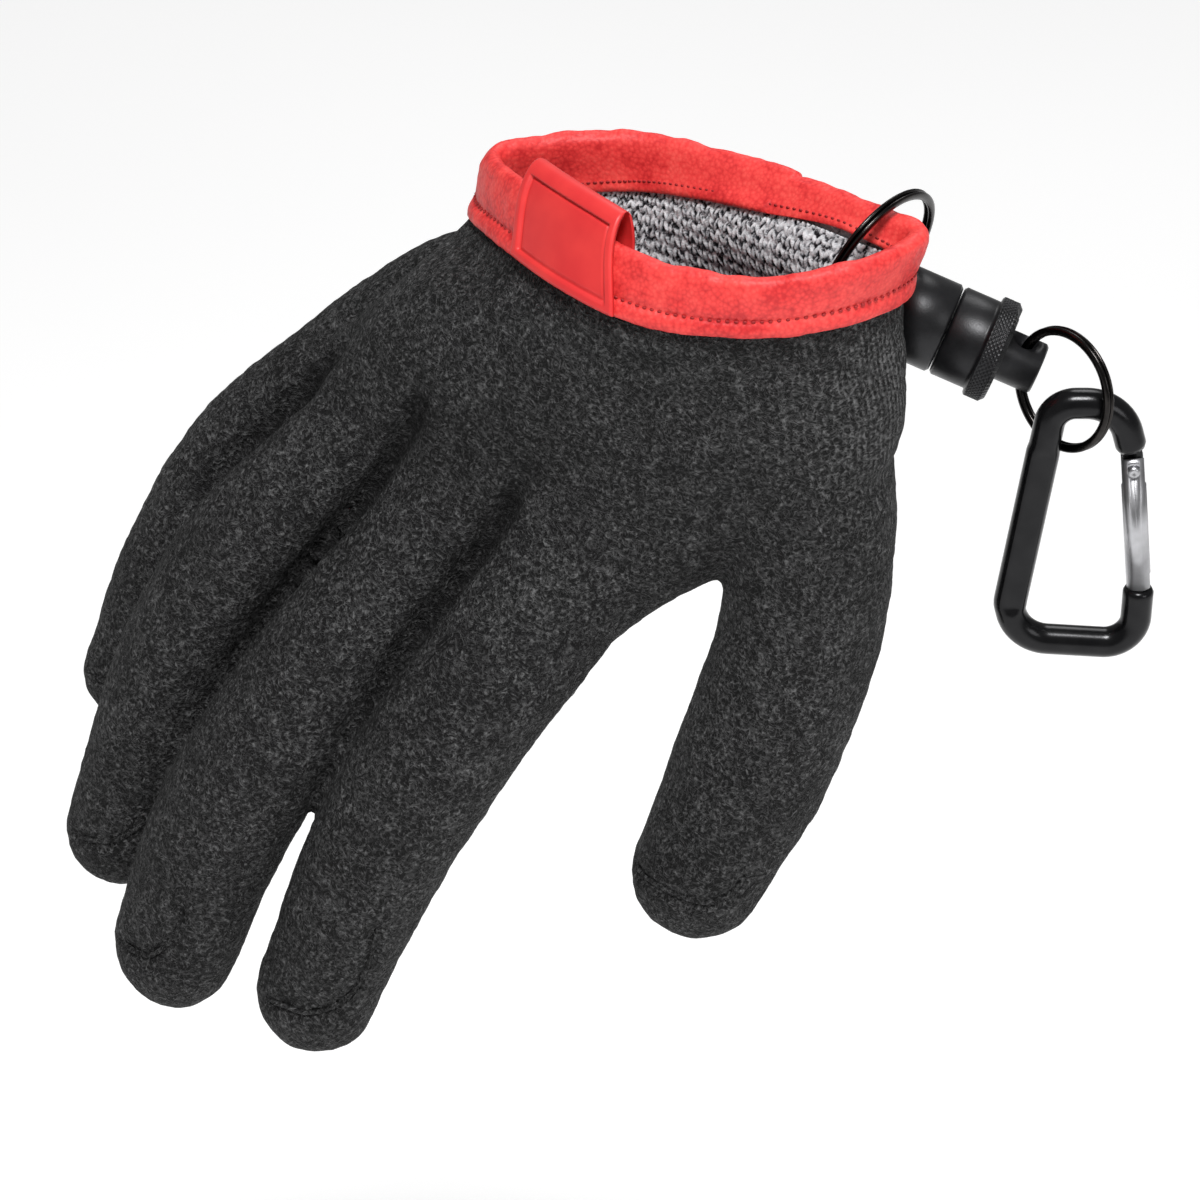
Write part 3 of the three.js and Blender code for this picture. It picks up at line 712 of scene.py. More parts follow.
FINISHES = {
    "coating": coating_finish(),
    "knit": knit_finish(),
    "loops": loops_finish(),
    "binding": binding_finish(),
    "tab": rubber_finish(),
    "thread": thread_finish(),
    "gunmetal": metal_finish("gunmetal", (0.06, 0.052, 0.046), (0.12, 0.105, 0.094), 0.28, 1.0),
    "black_steel": metal_finish("black_steel", (0.016, 0.015, 0.015), (0.05, 0.046, 0.044), 0.2, 1.0),
    "black_anodised": metal_finish("black_anodised", grey(0.008, 0.009), grey(0.02, 0.022), 0.36, 0.5),
    "black_gloss": metal_finish("black_gloss", grey(0.006, 0.007), grey(0.012, 0.013), 0.2, 0.6, 0.02),
    "gate_metal": metal_finish("gate_metal", grey(0.38, 0.39), grey(0.52, 0.54), 0.34, 1.0),
}


def dress(obj, finish, body, slot, *nodes):
    """Gives a piece its finish and its body, and hides the CAD nodes that it stands for. Its slot is not
    used.
    """
    obj.data.materials.clear()
    obj.data.materials.append(FINISHES[finish])
    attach(obj, body)
    if nodes:
        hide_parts(*nodes)
    return obj


# The eyelet's place in the cuff

EYELET_SHARE = 0.1
EYELET_LEVEL = 1.33
EYELET_CHORD = (0.42, 0.045)
EYELET_BORE = 11
EYELET_FLANGE = 16.6
EYELET_WASHER = 14
WALL_INSIDE = -3.7
WALL_OUTSIDE = 2.2
EYELET_CLEAR = 1.1


def eyelet_frame():
    level, share = EYELET_CHORD
    above, below = (wall_point(EYELET_LEVEL + d, EYELET_SHARE, 0.0) for d in (-level, level))
    before, after = (wall_point(EYELET_LEVEL, EYELET_SHARE + d, 0.0) for d in (-share, share))
    out = np.cross(below - above, after - before)
    return frame_matrix((above + below + before + after) / 4, out, (0, 0, 1))


eyelet = eyelet_frame()


def rod(name, radius, low, high, m, sides=48):
    turn = TURN * np.arange(sides) / sides
    ring = np.stack([radius * np.cos(turn), radius * np.sin(turn), 0 * turn], axis=1)
    return tube_of(name, [placed(ring + (0, 0, z), m) for z in (low, high)])


def eyelet_hole():
    """The tool that cuts the eyelet's hole through the wall."""
    return rod("eyelet_hole", EYELET_BORE / 2 + EYELET_CLEAR, -14, 8, eyelet)


# The coated shell: a dense outer skin with the knit showing on its inside

COATING = 1.0
SHELL_VOXEL = 0.95
INSIDE_VOXEL = 1.6
LUMPS = [
    # height, size and seed of each noise
    (0.34, 9, 1), (0.2, 3.2, 2), (0.14, 1.7, 3),
]
SEAM_SINK, SEAM_WIDE = 1.0, 1.5
SEAM_BEAD = 0.5
SEAM_NEAR = 30
BEAD_SIDES = 10


def build_seams(seams):
    """A low bead along each closed fingertip."""
    beads = []
    turn = TURN * np.arange(BEAD_SIDES) / BEAD_SIDES
    for places, outs in seams:
        smooth = places.copy()
        for _ in range(3):
            smooth[1:-1] = (smooth[:-2] + 2 * smooth[1:-1] + smooth[2:]) / 4
        ahead = unit(np.gradient(smooth, axis=0))
        rings = []
        for k, (place, out, tangent) in enumerate(zip(smooth, outs, ahead)):
            side = unit(np.cross(tangent, out))
            up = np.cross(side, tangent)
            taper = math.sqrt(min(1, min(k, len(smooth) - 1 - k) / 4 + 0.05))
            lift = 0.12 * math.sin(k * 1.9) - SEAM_SINK * 0.7
            ring = np.outer(np.cos(turn), side) + np.outer(np.sin(turn), up)
            rings.append(place + up * lift + ring * SEAM_BEAD * taper)
        beads.append(tube_of("bead", rings))
    return dress(joined("fingertip_seams", beads), "coating", "glove", "coating")


def build_shell():
    coarser = 1
    outer = hand_solid("coated_glove", 0, 0, SHELL_VOXEL * coarser, 7)
    inner = hand_solid("hollow", COATING, -0.6, INSIDE_VOXEL, 4)
    seams = [on_surface(outer, seam_points(finger)) for finger in TIP_SEAMS]
    co = coordinates(outer)
    lumps = sum(height * noise_at(co, size, seed) for height, size, seed in LUMPS)
    for places, _ in seams:
        near = np.linalg.norm(co - places.mean(axis=0), axis=1) < SEAM_NEAR
        apart = np.linalg.norm(co[near][:, None] - places[None, ::2], axis=2).min(axis=1)
        lumps[near] -= SEAM_SINK * np.exp(-((apart / SEAM_WIDE) ** 2))
    # The creases' depth is stored as the hollow attribute, which the coating turns into painted shade in
    # the creases.
    hollow = outer.data.attributes.new("hollow", "FLOAT", "POINT")
    hollow.data.foreach_set("value", np.minimum(crease_depth(co) / CREASE_SHADED, 1))
    set_coordinates(outer, co + normals(outer) * lumps[:, None])
    build_seams(seams)
    for obj in (outer, inner):
        obj.data.materials.append(FINISHES["coating"])
        obj.data.materials.append(FINISHES["knit"])
    inner.data.polygons.foreach_set("material_index", [1] * len(inner.data.polygons))
    cut(outer, inner)
    cut(outer, eyelet_hole())
    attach(outer, "glove")
    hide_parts("coated_shell")
    return outer


# The knitted lining: columns of V-shaped loops on the side that shows

LINER_OUTSIDE = -1.3
LINER_INSIDE = -2.2
LOOP_WIDE = 2.35
LOOP_HIGH = 1.7
LOOP_DEEP = 0.75
LOOP_LEAN = 1.5
COLUMN_LEAN = 0.25
LINER_TOP = 0.5
LINER_LEVELS = 2.35


def knit_rows():
    """Rows of points down the lining's face, with how far the yarn stands up at each, 0 to 1."""
    rim_length = np.linalg.norm(np.diff(rim_point(np.linspace(0, 1, 400)), axis=0), axis=1).sum()
    columns = round(rim_length / LOOP_WIDE)
    around = columns * 8
    share = np.arange(around) / around
    wobble = 0.12 * noise_at(np.stack([share * 90, 0 * share, 0 * share], axis=1), 2.0, 4)
    rows, raised = [], []
    travel = 0.0
    last = None
    for level in np.arange(LINER_TOP, LINER_LEVELS, 0.022):
        middle = hand_point(level, np.array([0.5, 0.75, 0.25])).mean(axis=0)
        if last is not None:
            travel += np.linalg.norm(middle - last)
        last = middle
        u = share * columns + COLUMN_LEAN * travel / LOOP_WIDE
        lean = np.abs((u % 1.0) - 0.5)
        course = (travel / LOOP_HIGH + wobble + LOOP_LEAN * lean) % 1.0
        arm = np.abs(np.sin(math.pi * ((u * 2) % 1.0))) ** 0.5
        yarn = np.sin(math.pi * course) ** 0.8 * arm
        rows.append(wall_point(level, share, LINER_INSIDE + 0.35 - LOOP_DEEP * yarn))
        raised.append(yarn)
    return share, rows, raised


def build_knit():
    share, rows, raised = knit_rows()
    count = len(share)
    outer_levels = np.linspace(LINER_LEVELS - 0.03, LINER_TOP, 12)
    outside = [wall_point(level, share, LINER_OUTSIDE + 0 * share) for level in outer_levels]
    rings = rows + outside
    obj = new_object("knit_lining", np.concatenate(rings), strip_faces(len(rings), count, wrap_rows=True))
    face_outward(obj)
    tree = KDTree(len(rows) * count)
    for i, place in enumerate(np.concatenate(rows) * MM):
        tree.insert(place, i)
    tree.balance()
    yarn = np.concatenate(raised)
    cut(obj, eyelet_hole())
    # The yarn's height at each point, which the loops' finish turns into painted shade in the hollows.
    shade = obj.data.attributes.new("raised", "FLOAT", "POINT")
    found = [tree.find(v.co) for v in obj.data.vertices]
    shade.data.foreach_set("value", [yarn[i] if far < 1e-4 else 0.6 for _, i, far in found])
    return dress(obj, "loops", "glove", "knit", "knit_liner")


# The red binding, folded over the rim and sewn through near its foot

FOLD = [
    # level down the wall, off the wall in mm
    (0.97, 0.3), (1.0, 0.75), (0.97, 1.35), (0.88, 1.6), (0.78, 1.45), (0.69, 0.95), (0.60, 1.35),
    (0.40, 1.6), (0.20, 1.65), (0.05, 1.45), (-0.03, 0.95), (-0.065, 0.1), (-0.065, -0.8),
    (-0.03, -1.7), (0.05, -2.4), (0.20, -2.8), (0.40, -3.0), (0.58, -3.35), (0.66, -3.4), (0.71, -3.1),
    (0.69, -2.75), (0.57, -2.68), (0.48, -2.2), (0.40, -1.45), (0.2, -1.35), (0.06, -1.3),
    (0.0, -0.5), (0.05, 0.2), (0.30, 0.25), (0.70, 0.28),
]
# How far down the foot of the binding reaches outside and inside, for each row of the rim
FOOT_OUTSIDE = (0.97, 1.0, 1.0, 1.0, 1.0, 1.0, 0.97, 0.87, 0.83, 0.81, 0.82, 0.92)
FOOT_INSIDE = (0.75, 0.6, 0.78, 0.95, 1.15, 1.2, 1.05, 0.95, 0.95, 0.95, 0.9, 0.8)
FOLD_STEPS = 96
BINDING_STEPS = 480
STITCH_LEVEL = 0.69
STITCH_PITCH = 1.6
STITCH_LONG = 0.8
STITCH_RADIUS = 0.24
STITCHES = 150
RIM_LENGTH = 240
LAP_SHARE = 0.17
LAP_STEP = 0.7


def build_binding():
    share = np.arange(BINDING_STEPS) / BINDING_STEPS
    profile = round_curve(np.array(FOLD), np.arange(FOLD_STEPS) / FOLD_STEPS)
    foot_out, foot_in = round_curve(FOOT_OUTSIDE, share), round_curve(FOOT_INSIDE, share)
    columns = []
    for level, off in profile:
        foot = foot_out if off > -1 else foot_in
        columns.append(wall_point(level * (foot if level > 0 else 1 + 0 * share), share, off + 0 * share))
    obj = band_of("cuff_band", list(np.stack(columns, axis=1)))
    co, n = coordinates(obj), normals(obj)
    level = np.tile(profile[:, 0], BINDING_STEPS)
    off = np.tile(profile[:, 1], BINDING_STEPS)
    along = np.repeat(share, FOLD_STEPS)
    shown = smoothstep(0.6, 1.1, off) + smoothstep(-3.0, -3.5, off) + smoothstep(0.02, -0.05, level)
    shown = np.clip(shown, 0, 1)
    roll = smoothstep(0.5, 0.0, level)
    pucker = np.cos(TURN * along * round(RIM_LENGTH / STITCH_PITCH))
    pucker *= np.exp(-(((level - STITCH_LEVEL) / 0.1) ** 2))
    folds = 0.4 * roll * noise_at(co, 5, 5) + 0.17 * noise_at(co, 2.4, 6) + 0.14 * pucker
    folds += 0.4 * noise_at(co, 16, 7) + 0.05 * noise_at(co, 1.1, 8)
    lap = (along - LAP_SHARE) * RIM_LENGTH
    folds += LAP_STEP * smoothstep(-0.35, 0.35, lap) * smoothstep(22, 3, lap)
    set_coordinates(obj, co + n * (shown * folds)[:, None])
    return dress(obj, "binding", "glove", "binding", "cuff_binding")


def capsule_rings(a, b, radius, sides=8):
    """Rings of a rod with rounded ends from a to b."""
    ahead = unit(b - a)
    near = np.array((0.3, 0.2, 0.9))
    m = frame_matrix((0, 0, 0), ahead, near)
    turn = TURN * np.arange(sides) / sides
    rings = []
    for at, spread in ((0, 0.35), (0.12, 0.8), (0.3, 1), (0.7, 1), (0.88, 0.8), (1, 0.35)):
        ring = np.stack([np.cos(turn), np.sin(turn), 0 * turn], axis=1) * radius * spread
        rings.append(placed(ring, m) + a + (b - a) * at)
    return rings


def build_stitches(name, level, off):
    pieces = []
    length = STITCH_LONG / 2
    step = 1e-3
    for k in range(STITCHES):
        s = np.array((k + 0.5) / STITCHES)
        down = level * round_curve(FOOT_OUTSIDE if off > 0 else FOOT_INSIDE, s)
        middle = wall_point(down, s, off)
        along = unit(wall_point(down, s + step, off) - wall_point(down, s - step, off))
        rings = capsule_rings(middle - along * length, middle + along * length, STITCH_RADIUS)
        pieces.append(tube_of("stitch", rings))
    return dress(joined(name, pieces), "thread", "glove", "binding")


# The rubber tab over the binding

TAB_FROM, TAB_TO, TAB_LEAN = 0.6, 0.706, 0.02
TAB_ROUTE = [
    # level, off of the outer face, off of the inner face
    (0.79, 3.0, 1.9), (0.5, 3.2, 2.1), (0.2, 3.2, 2.1), (-0.08, 3.0, 1.9), (-0.26, 2.3, 1.2),
    (-0.36, 1.4, 0.4), (-0.41, 0.2, -0.1), (-0.41, -1.2, -0.9), (-0.36, -2.4, -1.6), (-0.2, -4.0, -3.0),
    (0.0, -5.0, -4.0), (0.3, -5.3, -4.3), (0.6, -5.3, -4.3),
]
TAB_BORDER = 1.7
TAB_RELIEF = 0.6
TAB_CROWN = 0.49
TAB_EDGE = 0.3
TAB_WIDE = 26.0


def build_tab():
    steps_along, steps_across = 170, 120
    route = np.array(TAB_ROUTE)
    s = np.linspace(0, len(route) - 1.001, steps_along)
    i = s.astype(int)
    pick = lambda k: route[np.clip(i + k, 0, len(route) - 1)]
    rows = cubic(pick(-1), pick(0), pick(1), pick(2), (s - i)[:, None])
    across = np.linspace(0, 1, steps_across)
    outer, inner = [], []
    lengths = np.concatenate([[0], np.cumsum(np.linalg.norm(np.diff(
        [wall_point(l, np.array(0.65), o) for l, o, _ in rows], axis=0), axis=1))])
    for (level, out, back), along in zip(rows, lengths):
        share = TAB_FROM + (TAB_TO - TAB_FROM) * across + TAB_LEAN * level
        to_side = np.minimum(across, 1 - across) * TAB_WIDE
        to_end = min(along, lengths[-1] - along)
        front_top = abs(along - lengths[-1] * TAB_CROWN)
        edge = np.minimum(to_side, to_end)
        frame_edge = np.minimum(edge, np.abs(front_top - 1.2) if front_top > 1.2 else 0)
        border = 1 - smoothstep(TAB_BORDER - 0.15, TAB_BORDER + 0.15, frame_edge)
        border = border - 0.6 * np.exp(-(((frame_edge - TAB_BORDER - 0.35) / 0.3) ** 2))
        sink = TAB_EDGE * (1 - smoothstep(0, 0.5, edge)) ** 1.5
        sign = 1 if out > back else -1
        face = out + sign * (TAB_RELIEF * (border - 1) - sink)
        outer.append(wall_point(level, share, face))
        inner.append(wall_point(level, share, back + 0 * across))
    points = np.concatenate([np.concatenate([o, n[::-1]]) for o, n in zip(outer, inner)])
    columns = 2 * steps_across
    faces = strip_faces(steps_along, columns)
    faces.append(tuple(range(columns)))
    start = (steps_along - 1) * columns
    faces.append(tuple(range(start, start + columns)))
    obj = face_outward(new_object("rubber_tab", points, faces))
    return dress(obj, "tab", "glove", "tab", "cuff_tab")


# The grommet

def rolled(r, z, radius, start, end, count=10):
    """Points of an arc of a profile about (r, z), from one angle to another in degrees."""
    return [(r + radius * math.cos(math.radians(a)), z + radius * math.sin(math.radians(a)))
            for a in np.linspace(start, end, count)]


def build_grommet():
    bore, flange, washer = EYELET_BORE / 2, EYELET_FLANGE / 2, EYELET_WASHER / 2
    low, high = WALL_INSIDE, WALL_OUTSIDE
    profile = (
        rolled(bore + 1.0, low - 0.9, 1.0, 180, 270)
        + rolled(flange - 0.5, low - 0.45, 0.5, 250, 360, 7)
        + [(flange, low + 0.1), (flange - 0.4, low + 0.25)]
        + [(bore + 0.8, low - 0.1), (bore + 0.8, high)]
        + [(washer - 0.3, high), (washer, high + 0.3)]
        + rolled(washer - 0.5, high + 0.4, 0.5, 0, 90, 6)
        + rolled(bore + 0.9, high + 0.2, 0.9, 90, 180)
    )
    return dress(lathe("cuff_grommet", profile, eyelet, 96), "gunmetal", "glove", "gunmetal", "grommet")


# Split rings: two turns of wire side by side, with a short crossing where its ends lie

COIL_RADIUS = 0.52
COIL_THICK = 0.85


def split_ring(name, radius, m, start, body, node):
    steps, sides = 220, 14
    jog = 0.06
    turns = np.linspace(0.012, 1.988, steps)
    side = -COIL_RADIUS + 2 * COIL_RADIUS * smoothstep(1 - jog, 1 + jog, turns)
    angle = TURN * turns + start
    loop = TURN * np.arange(sides) / sides
    rings = []
    for a, z in zip(angle, side):
        out = np.array((math.cos(a), math.sin(a), 0))
        ring = np.outer(np.cos(loop) * COIL_THICK, out)
        ring = ring + np.outer(np.sin(loop) * COIL_RADIUS * 0.94, (0, 0, 1))
        rings.append(placed(ring + out * radius + (0, 0, z), m))
    return dress(tube_of(name, rings), "black_steel", body, "black_steel", node)


# The magnetic release

CLIP_SEAM = np.array((47, 2.1, -27.6))
CLIP_AXIS = unit((0.915, -0.21, -0.34))
BODY_RADIUS, COLLAR_RADIUS, STEM_RADIUS, EYE_RADIUS = 9, 10.2, 5.1, 2.7
INNER_LONG, OUTER_LONG, COLLAR_LONG, STEM_LONG, EYE_FROM_END = 10.6, 7.6, 4.2, 7.5, 3.7
clip = frame_matrix(CLIP_SEAM, CLIP_AXIS, (0, 0, 1))
on_clip = lambda z: CLIP_SEAM + CLIP_AXIS * z
inner_eye = on_clip(-(INNER_LONG + STEM_LONG - EYE_FROM_END))
outer_eye = on_clip(OUTER_LONG + COLLAR_LONG + STEM_LONG - EYE_FROM_END)


def circle_through(a, b, c):
    ab, ac = b - a, c - a
    axis = np.cross(ab, ac)
    side = np.cross(axis, ab) * ac.dot(ac) + np.cross(ac, axis) * ab.dot(ab)
    centre = a + side / (2 * axis.dot(axis))
    return np.linalg.norm(centre - a), frame_matrix(centre, axis, ab)


rim_crossing = wall_point(0, 0.053, -1.2) + (0, 0, 3.2)
eyelet_crossing = wall_point(1.4, EYELET_SHARE, -1.2)
cuff_ring_radius, cuff_ring_frame = circle_through(rim_crossing, eyelet_crossing, inner_eye)

CLIP_RING_RADIUS = 11.5
RING_RIGHT = np.array((0.643, -0.663, 0.383))
RING_UP = np.array((-0.2, 0.34, 0.92))
clip_ring_centre = outer_eye + RING_RIGHT * CLIP_RING_RADIUS * 0.87 - RING_UP * CLIP_RING_RADIUS * 0.5
clip_ring_frame = frame_matrix(clip_ring_centre, np.cross(RING_RIGHT, RING_UP), RING_UP)


def wire_at(ring_frame, point):
    return unit(np.cross(ring_frame[:3, 2], point - ring_frame[:3, 3]))


def chamfered(r, z_from, z_to, c=0.35):
    """A step of a profile at radius r with both corners broken."""
    sign = 1 if z_to > z_from else -1
    return [(r - c, z_from), (r, z_from + sign * c), (r, z_to - sign * c), (r - c, z_to)]


def turned_solid(name, profile, m, sides=96, knurl=None):
    """A turned solid whose profile runs from the axis back to the axis."""
    turn = TURN * np.arange(sides) / sides
    rings = []
    for r, z in profile:
        radius = r + (knurl(turn, z) if knurl else 0)
        ring = np.stack([radius * np.cos(turn), radius * np.sin(turn), z + 0 * turn], axis=1)
        rings.append(placed(ring, m))
    return tube_of(name, rings)


KNURL_FROM, KNURL_TO, KNURL_DEEP, KNURL_COUNT, KNURL_SLOPE = 7.9, 11.0, 0.32, 60, 1.05


def knurl_depth(turn, z):
    """Diamond knurling between two heights of the collar."""
    if not KNURL_FROM < z < KNURL_TO:
        return 0 * turn
    shift = (z - KNURL_FROM) * KNURL_SLOPE * TURN / KNURL_COUNT
    wave = lambda a: np.abs(((a * KNURL_COUNT / TURN) % 1.0) - 0.5) * 2
    low = np.minimum(wave(turn + shift), wave(turn - shift))
    return -KNURL_DEEP * (1 - np.clip(low * 2.6, 0, 1))


def cut_eye(obj, place, ring_frame):
    """Drills a stem's eye at that place along the wire that passes there."""
    cut(obj, rod("eye", EYE_RADIUS, -12, 12, frame_matrix(place, wire_at(ring_frame, place), CLIP_AXIS)))


def build_release():
    end = -(INNER_LONG + STEM_LONG)
    inner_profile = (
        [(0.01, end)] + chamfered(STEM_RADIUS, end, -INNER_LONG + 0.02, 0.5)[:3]
        + [(STEM_RADIUS - 0.5, -INNER_LONG)]
        + chamfered(BODY_RADIUS, -INNER_LONG, -0.15, 0.6) + [(0.01, -0.15)]
    )
    inner = turned_solid("release_inner", inner_profile, clip)
    cut_eye(inner, inner_eye, cuff_ring_frame)
    dress(inner, "black_anodised", "glove", "black_anodised", "clip_inner")

    top = OUTER_LONG + COLLAR_LONG
    tip = top + STEM_LONG
    knurled = [(COLLAR_RADIUS, z) for z in np.linspace(KNURL_FROM, KNURL_TO, 22)]
    outer_profile = (
        [(0.01, 0.15)] + chamfered(BODY_RADIUS, 0.15, OUTER_LONG - 0.2, 0.5)[:3]
        + [(BODY_RADIUS, OUTER_LONG - 0.1), (COLLAR_RADIUS - 0.4, OUTER_LONG)]
        + knurled
        + [(COLLAR_RADIUS, top - 0.9), (COLLAR_RADIUS - 0.9, top)]
        + [(STEM_RADIUS + 0.2, top), (STEM_RADIUS, top + 0.2)]
        + [(STEM_RADIUS, tip - 0.5), (STEM_RADIUS - 0.5, tip), (0.01, tip)]
    )
    outer = turned_solid("release_outer", outer_profile, clip, 360, knurl_depth)
    cut_eye(outer, outer_eye, clip_ring_frame)
    dress(outer, "black_anodised", "release", "black_anodised", "clip_outer")


# The carabiner, hung in the plane of x and z from the middle of its bow

CARABINER_TOP = np.array((71.9, -13.7, -35.3))
BENDS = [
    # x, z, radius of the bend
    (12.95, -40.2, 0), (12.6, -52.9, 6), (-13, -51.2, 8), (-5.2, 0, 5), (7.4, 0, 8.4), (10.1, -9.6, 0),
]
STOCK, SPINE_HALF = 3.0, 2.35
SPINE_X, SPINE_LOW, SPINE_HIGH = -5.5, -44.5, -9.5
GATE_PIN = np.array((10.5, 0, -13.6))
GATE_LEAN = math.atan2(2.4, 25.4)
GATE_RADIUS, GATE_ABOVE, GATE_BELOW = 2.4, 2.3, 26.3
GATE_SLOT, SLOT_TOP, SLOT_END, TONGUE = 1.1, 4, 3, 0.8
PIN_RADIUS = 0.9


def bent_path(bends, step=0.09, straight=0.8):
    """The middle line through the bends, each corner an arc of its own radius."""
    corners = [np.array((x, 0, z)) for x, z, _ in bends]
    path = [corners[0]]
    for i in range(1, len(corners) - 1):
        back, ahead = unit(corners[i - 1] - corners[i]), unit(corners[i + 1] - corners[i])
        half = math.acos(np.clip(back.dot(ahead), -1, 1)) / 2
        centre = corners[i] + unit(back + ahead) * bends[i][2] / math.sin(half)
        first = corners[i] + back * bends[i][2] / math.tan(half) - centre
        sweep = math.pi - 2 * half
        axis = unit(np.cross(back, ahead)) * -1
        count = math.ceil(sweep / step)
        gap = np.linalg.norm(centre + first - path[-1])
        fill = max(1, int(gap / straight))
        path += [path[-1] + (centre + first - path[-1]) * k / fill for k in range(1, fill)]
        for k in range(count + 1):
            turn = np.array(Matrix.Rotation(sweep * k / count, 3, Vector(axis)))
            path.append(centre + turn @ first)
    gap = np.linalg.norm(corners[-1] - path[-1])
    fill = max(1, int(gap / straight))
    path += [path[-1] + (corners[-1] - path[-1]) / fill * k for k in range(1, fill)]
    return np.array([*path, corners[-1]])


def slab(name, x, y, z, m):
    corners = [(a, b, c) for a in x for b in y for c in z]
    faces = [(0, 1, 3, 2), (4, 6, 7, 5), (0, 4, 5, 1), (2, 3, 7, 6), (0, 2, 6, 4), (1, 5, 7, 3)]
    return face_outward(new_object(name, placed(corners, m), faces, smooth=False))


def gate_frame():
    m = np.eye(4)
    m[:3, :3] = np.array(Matrix.Rotation(-GATE_LEAN, 3, "Y"))
    m[:3, 3] = CARABINER_TOP + GATE_PIN
    return m


def build_carabiner():
    path = bent_path(BENDS)
    tangents = unit(np.gradient(path, axis=0))
    sides = 48
    loop = TURN * (np.arange(sides) + 0.5) / sides
    rings = []
    for p, t in zip(path, tangents):
        sideways = np.cross(t, (0, 1, 0))
        on_spine = smoothstep(SPINE_X + 1, SPINE_X - 0.5, p[0])
        on_spine = on_spine * smoothstep(SPINE_LOW - 1, SPINE_LOW + 1, p[2])
        on_spine = on_spine * smoothstep(SPINE_HIGH + 1, SPINE_HIGH - 1, p[2])
        limit = STOCK + (SPINE_HALF - STOCK) * on_spine
        y = np.clip(STOCK * np.sin(loop), -limit, limit)
        wide = STOCK + 0.25 * on_spine
        from_end = min(np.linalg.norm(path[0] - p), np.linalg.norm(path[-1] - p))
        trim = 1 - 0.14 * (1 - smoothstep(0, 0.5, from_end))
        rings.append(CARABINER_TOP + p + np.outer(wide * np.cos(loop), sideways) * trim
                     + np.outer(y, (0, 1, 0)) * trim)
    body = tube_of("carabiner_body", rings)
    m = gate_frame()
    thick = (-TONGUE, TONGUE)
    cut(body, slab("tongue", (-1.9, 1.9), thick, (-2.4, 6), m), "UNION")
    nose_depths = (-GATE_BELOW - 3, -GATE_BELOW + SLOT_END - 0.4)
    cut(body, slab("nose", (-0.8, 2), thick, nose_depths, m), "UNION")
    pin = m @ np.array(Matrix.Rotation(math.pi / 2, 4, "X"))
    cut(body, rod("pin_hole", PIN_RADIUS + 0.2, -6, 6, pin))
    dress(body, "black_gloss", "release", "black_anodised", "carabiner_frame")

    gate = rod("carabiner_gate_bar", GATE_RADIUS, -GATE_BELOW, GATE_ABOVE, m, 48)
    slot = (-GATE_SLOT, GATE_SLOT)
    cut(gate, slab("slot", (-4, 4), slot, (-SLOT_TOP, 4), m))
    cut(gate, slab("slot", (-1.1, 4), slot, (-GATE_BELOW - 1, -GATE_BELOW + SLOT_END), m))
    cut(gate, rod("pin_hole", PIN_RADIUS + 0.2, -6, 6, pin))
    dress(gate, "gate_metal", "gate", "gate_metal", "carabiner_gate")

    head = [(0.01, -2.7)] + rolled(0.5, -2.3, 0.75, 270, 360, 6)[1:] + [(PIN_RADIUS, -2.0)]
    head += [(PIN_RADIUS, 2.0)] + rolled(0.5, 2.3, 0.75, 0, 90, 6) + [(0.01, 2.7)]
    rivet = turned_solid("gate_rivet", head, pin, 32)
    dress(rivet, "gate_metal", "release", "gate_metal", "gate_pin")


# Build everything

build_shell()
build_knit()
build_binding()
build_stitches("binding_stitches", STITCH_LEVEL, 1.1)
build_stitches("inner_stitches", 0.56, -3.3)
build_tab()
build_grommet()
split_ring("cuff_split_ring", cuff_ring_radius, cuff_ring_frame, 2.2, "glove", "cuff_ring")
split_ring("release_split_ring", CLIP_RING_RADIUS, clip_ring_frame, 2.6, "release", "clip_ring")
build_release()
build_carabiner()


# Camera, light and floor

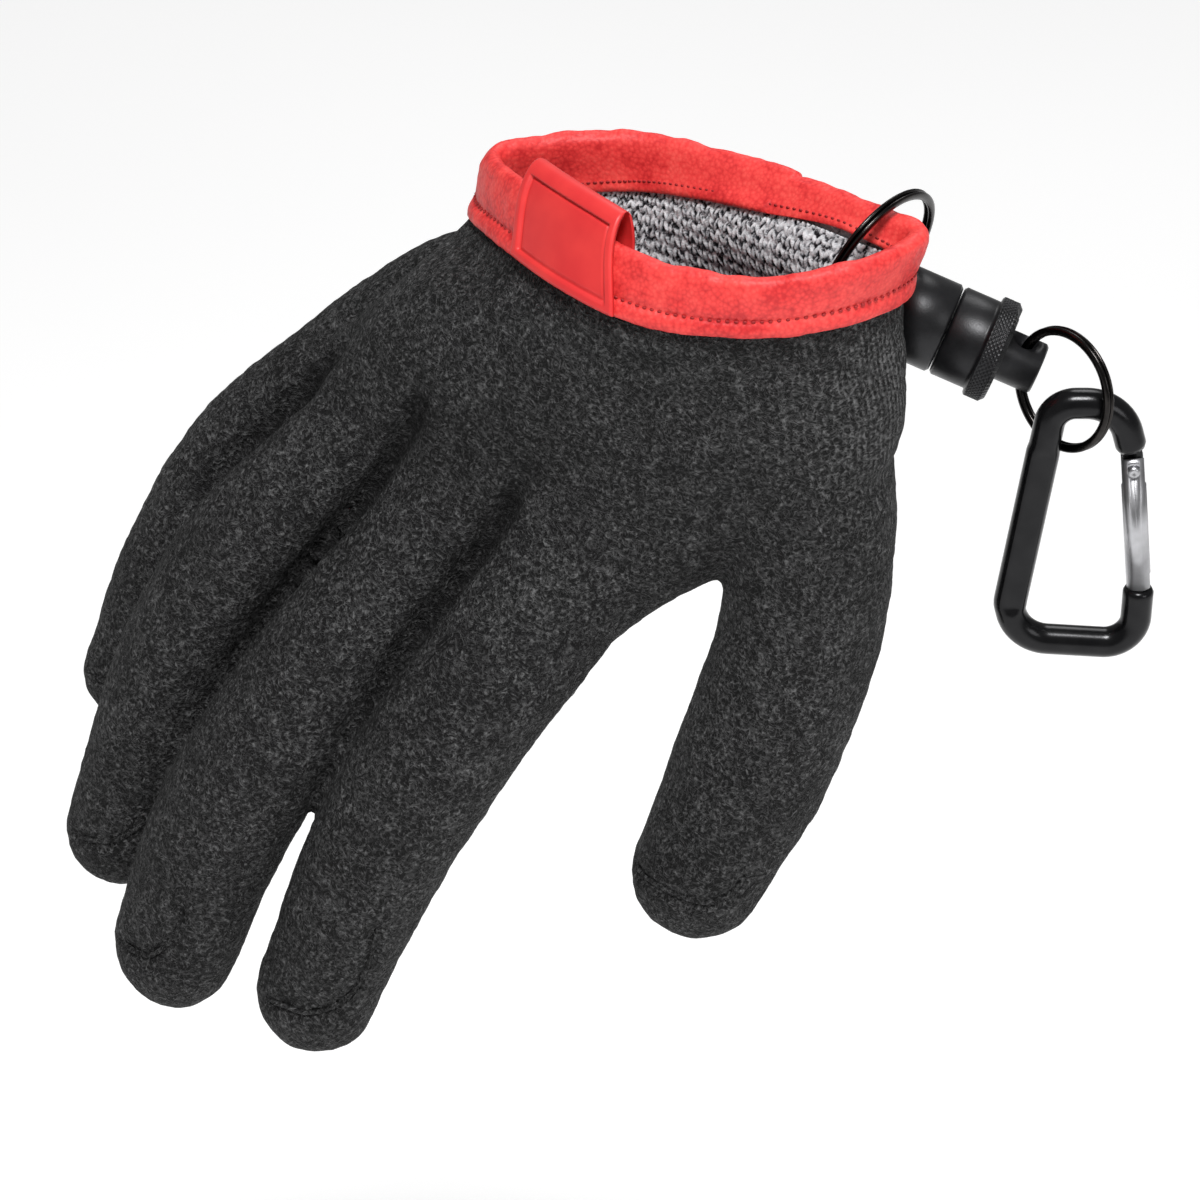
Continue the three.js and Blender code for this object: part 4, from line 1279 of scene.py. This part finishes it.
TARGET = Vector((-0.0194, -0.0374, -0.0647))
CAMERA_FAR = 1.0
CAMERA_UP = math.radians(30)
LENS = 159
SENSOR = 36
FLOOR_HALF = 6.0
FLOOR_BELOW = 0.25
FLOOR_GLOW = 0.25
SKY = 0.22
LIGHTS = [
    # name, place, size and power
    ("key", (0.1, -0.85, 1.7), 0.6, 38),
    ("fill", (1.3, -1.2, 0.6), 0.8, 5),
    ("back", (0.3, 1.2, 1.3), 0.8, 7),
]


def add_camera():
    data = bpy.data.cameras.new("camera")
    data.lens = LENS
    data.sensor_width = SENSOR
    data.dof.use_dof = False
    camera = bpy.data.objects.new("camera", data)
    bpy.context.scene.collection.objects.link(camera)
    back = Vector((0, -math.cos(CAMERA_UP), math.sin(CAMERA_UP)))
    camera.location = TARGET + back * CAMERA_FAR
    camera.rotation_mode = "QUATERNION"
    camera.rotation_quaternion = (-back).to_track_quat("-Z", "Y")
    bpy.context.scene.camera = camera


def add_light(name, where, size, power):
    data = bpy.data.lights.new(name, "AREA")
    data.shape = "DISK"
    data.size = size
    data.energy = power
    lamp = bpy.data.objects.new(name, data)
    bpy.context.scene.collection.objects.link(lamp)
    lamp.location = Vector(where)
    lamp.rotation_mode = "QUATERNION"
    lamp.rotation_quaternion = (TARGET - Vector(where)).to_track_quat("-Z", "Y")


def add_floor():
    height = cad_low.z - FLOOR_BELOW
    corners = [(x * FLOOR_HALF, y * FLOOR_HALF, height) for x, y in ((-1, -1), (1, -1), (1, 1), (-1, 1))]
    mesh = bpy.data.meshes.new("floor")
    mesh.from_pydata(corners, [], [(0, 1, 2, 3)])
    floor = bpy.data.objects.new("floor", mesh)
    bpy.context.scene.collection.objects.link(floor)
    paint = Finish("pale_floor", Roughness=0.9, Emission_Strength=FLOOR_GLOW, Emission_Color=(1, 1, 1, 1))
    colour = paint.ramp(paint.noise(400, 1), [(0.3, grey(0.90)), (0.7, grey(0.93))])
    paint.link(colour, "Base Color")
    mesh.materials.append(paint.material)


def add_world():
    world = bpy.data.worlds.new("studio")
    world.use_nodes = True
    back = world.node_tree.nodes["Background"]
    back.inputs["Color"].default_value = (1, 1, 1, 1)
    back.inputs["Strength"].default_value = SKY
    bpy.context.scene.world = world


add_camera()
for light in LIGHTS:
    add_light(*light)
add_floor()
add_world()
bpy.context.scene.view_settings.view_transform = "Standard"
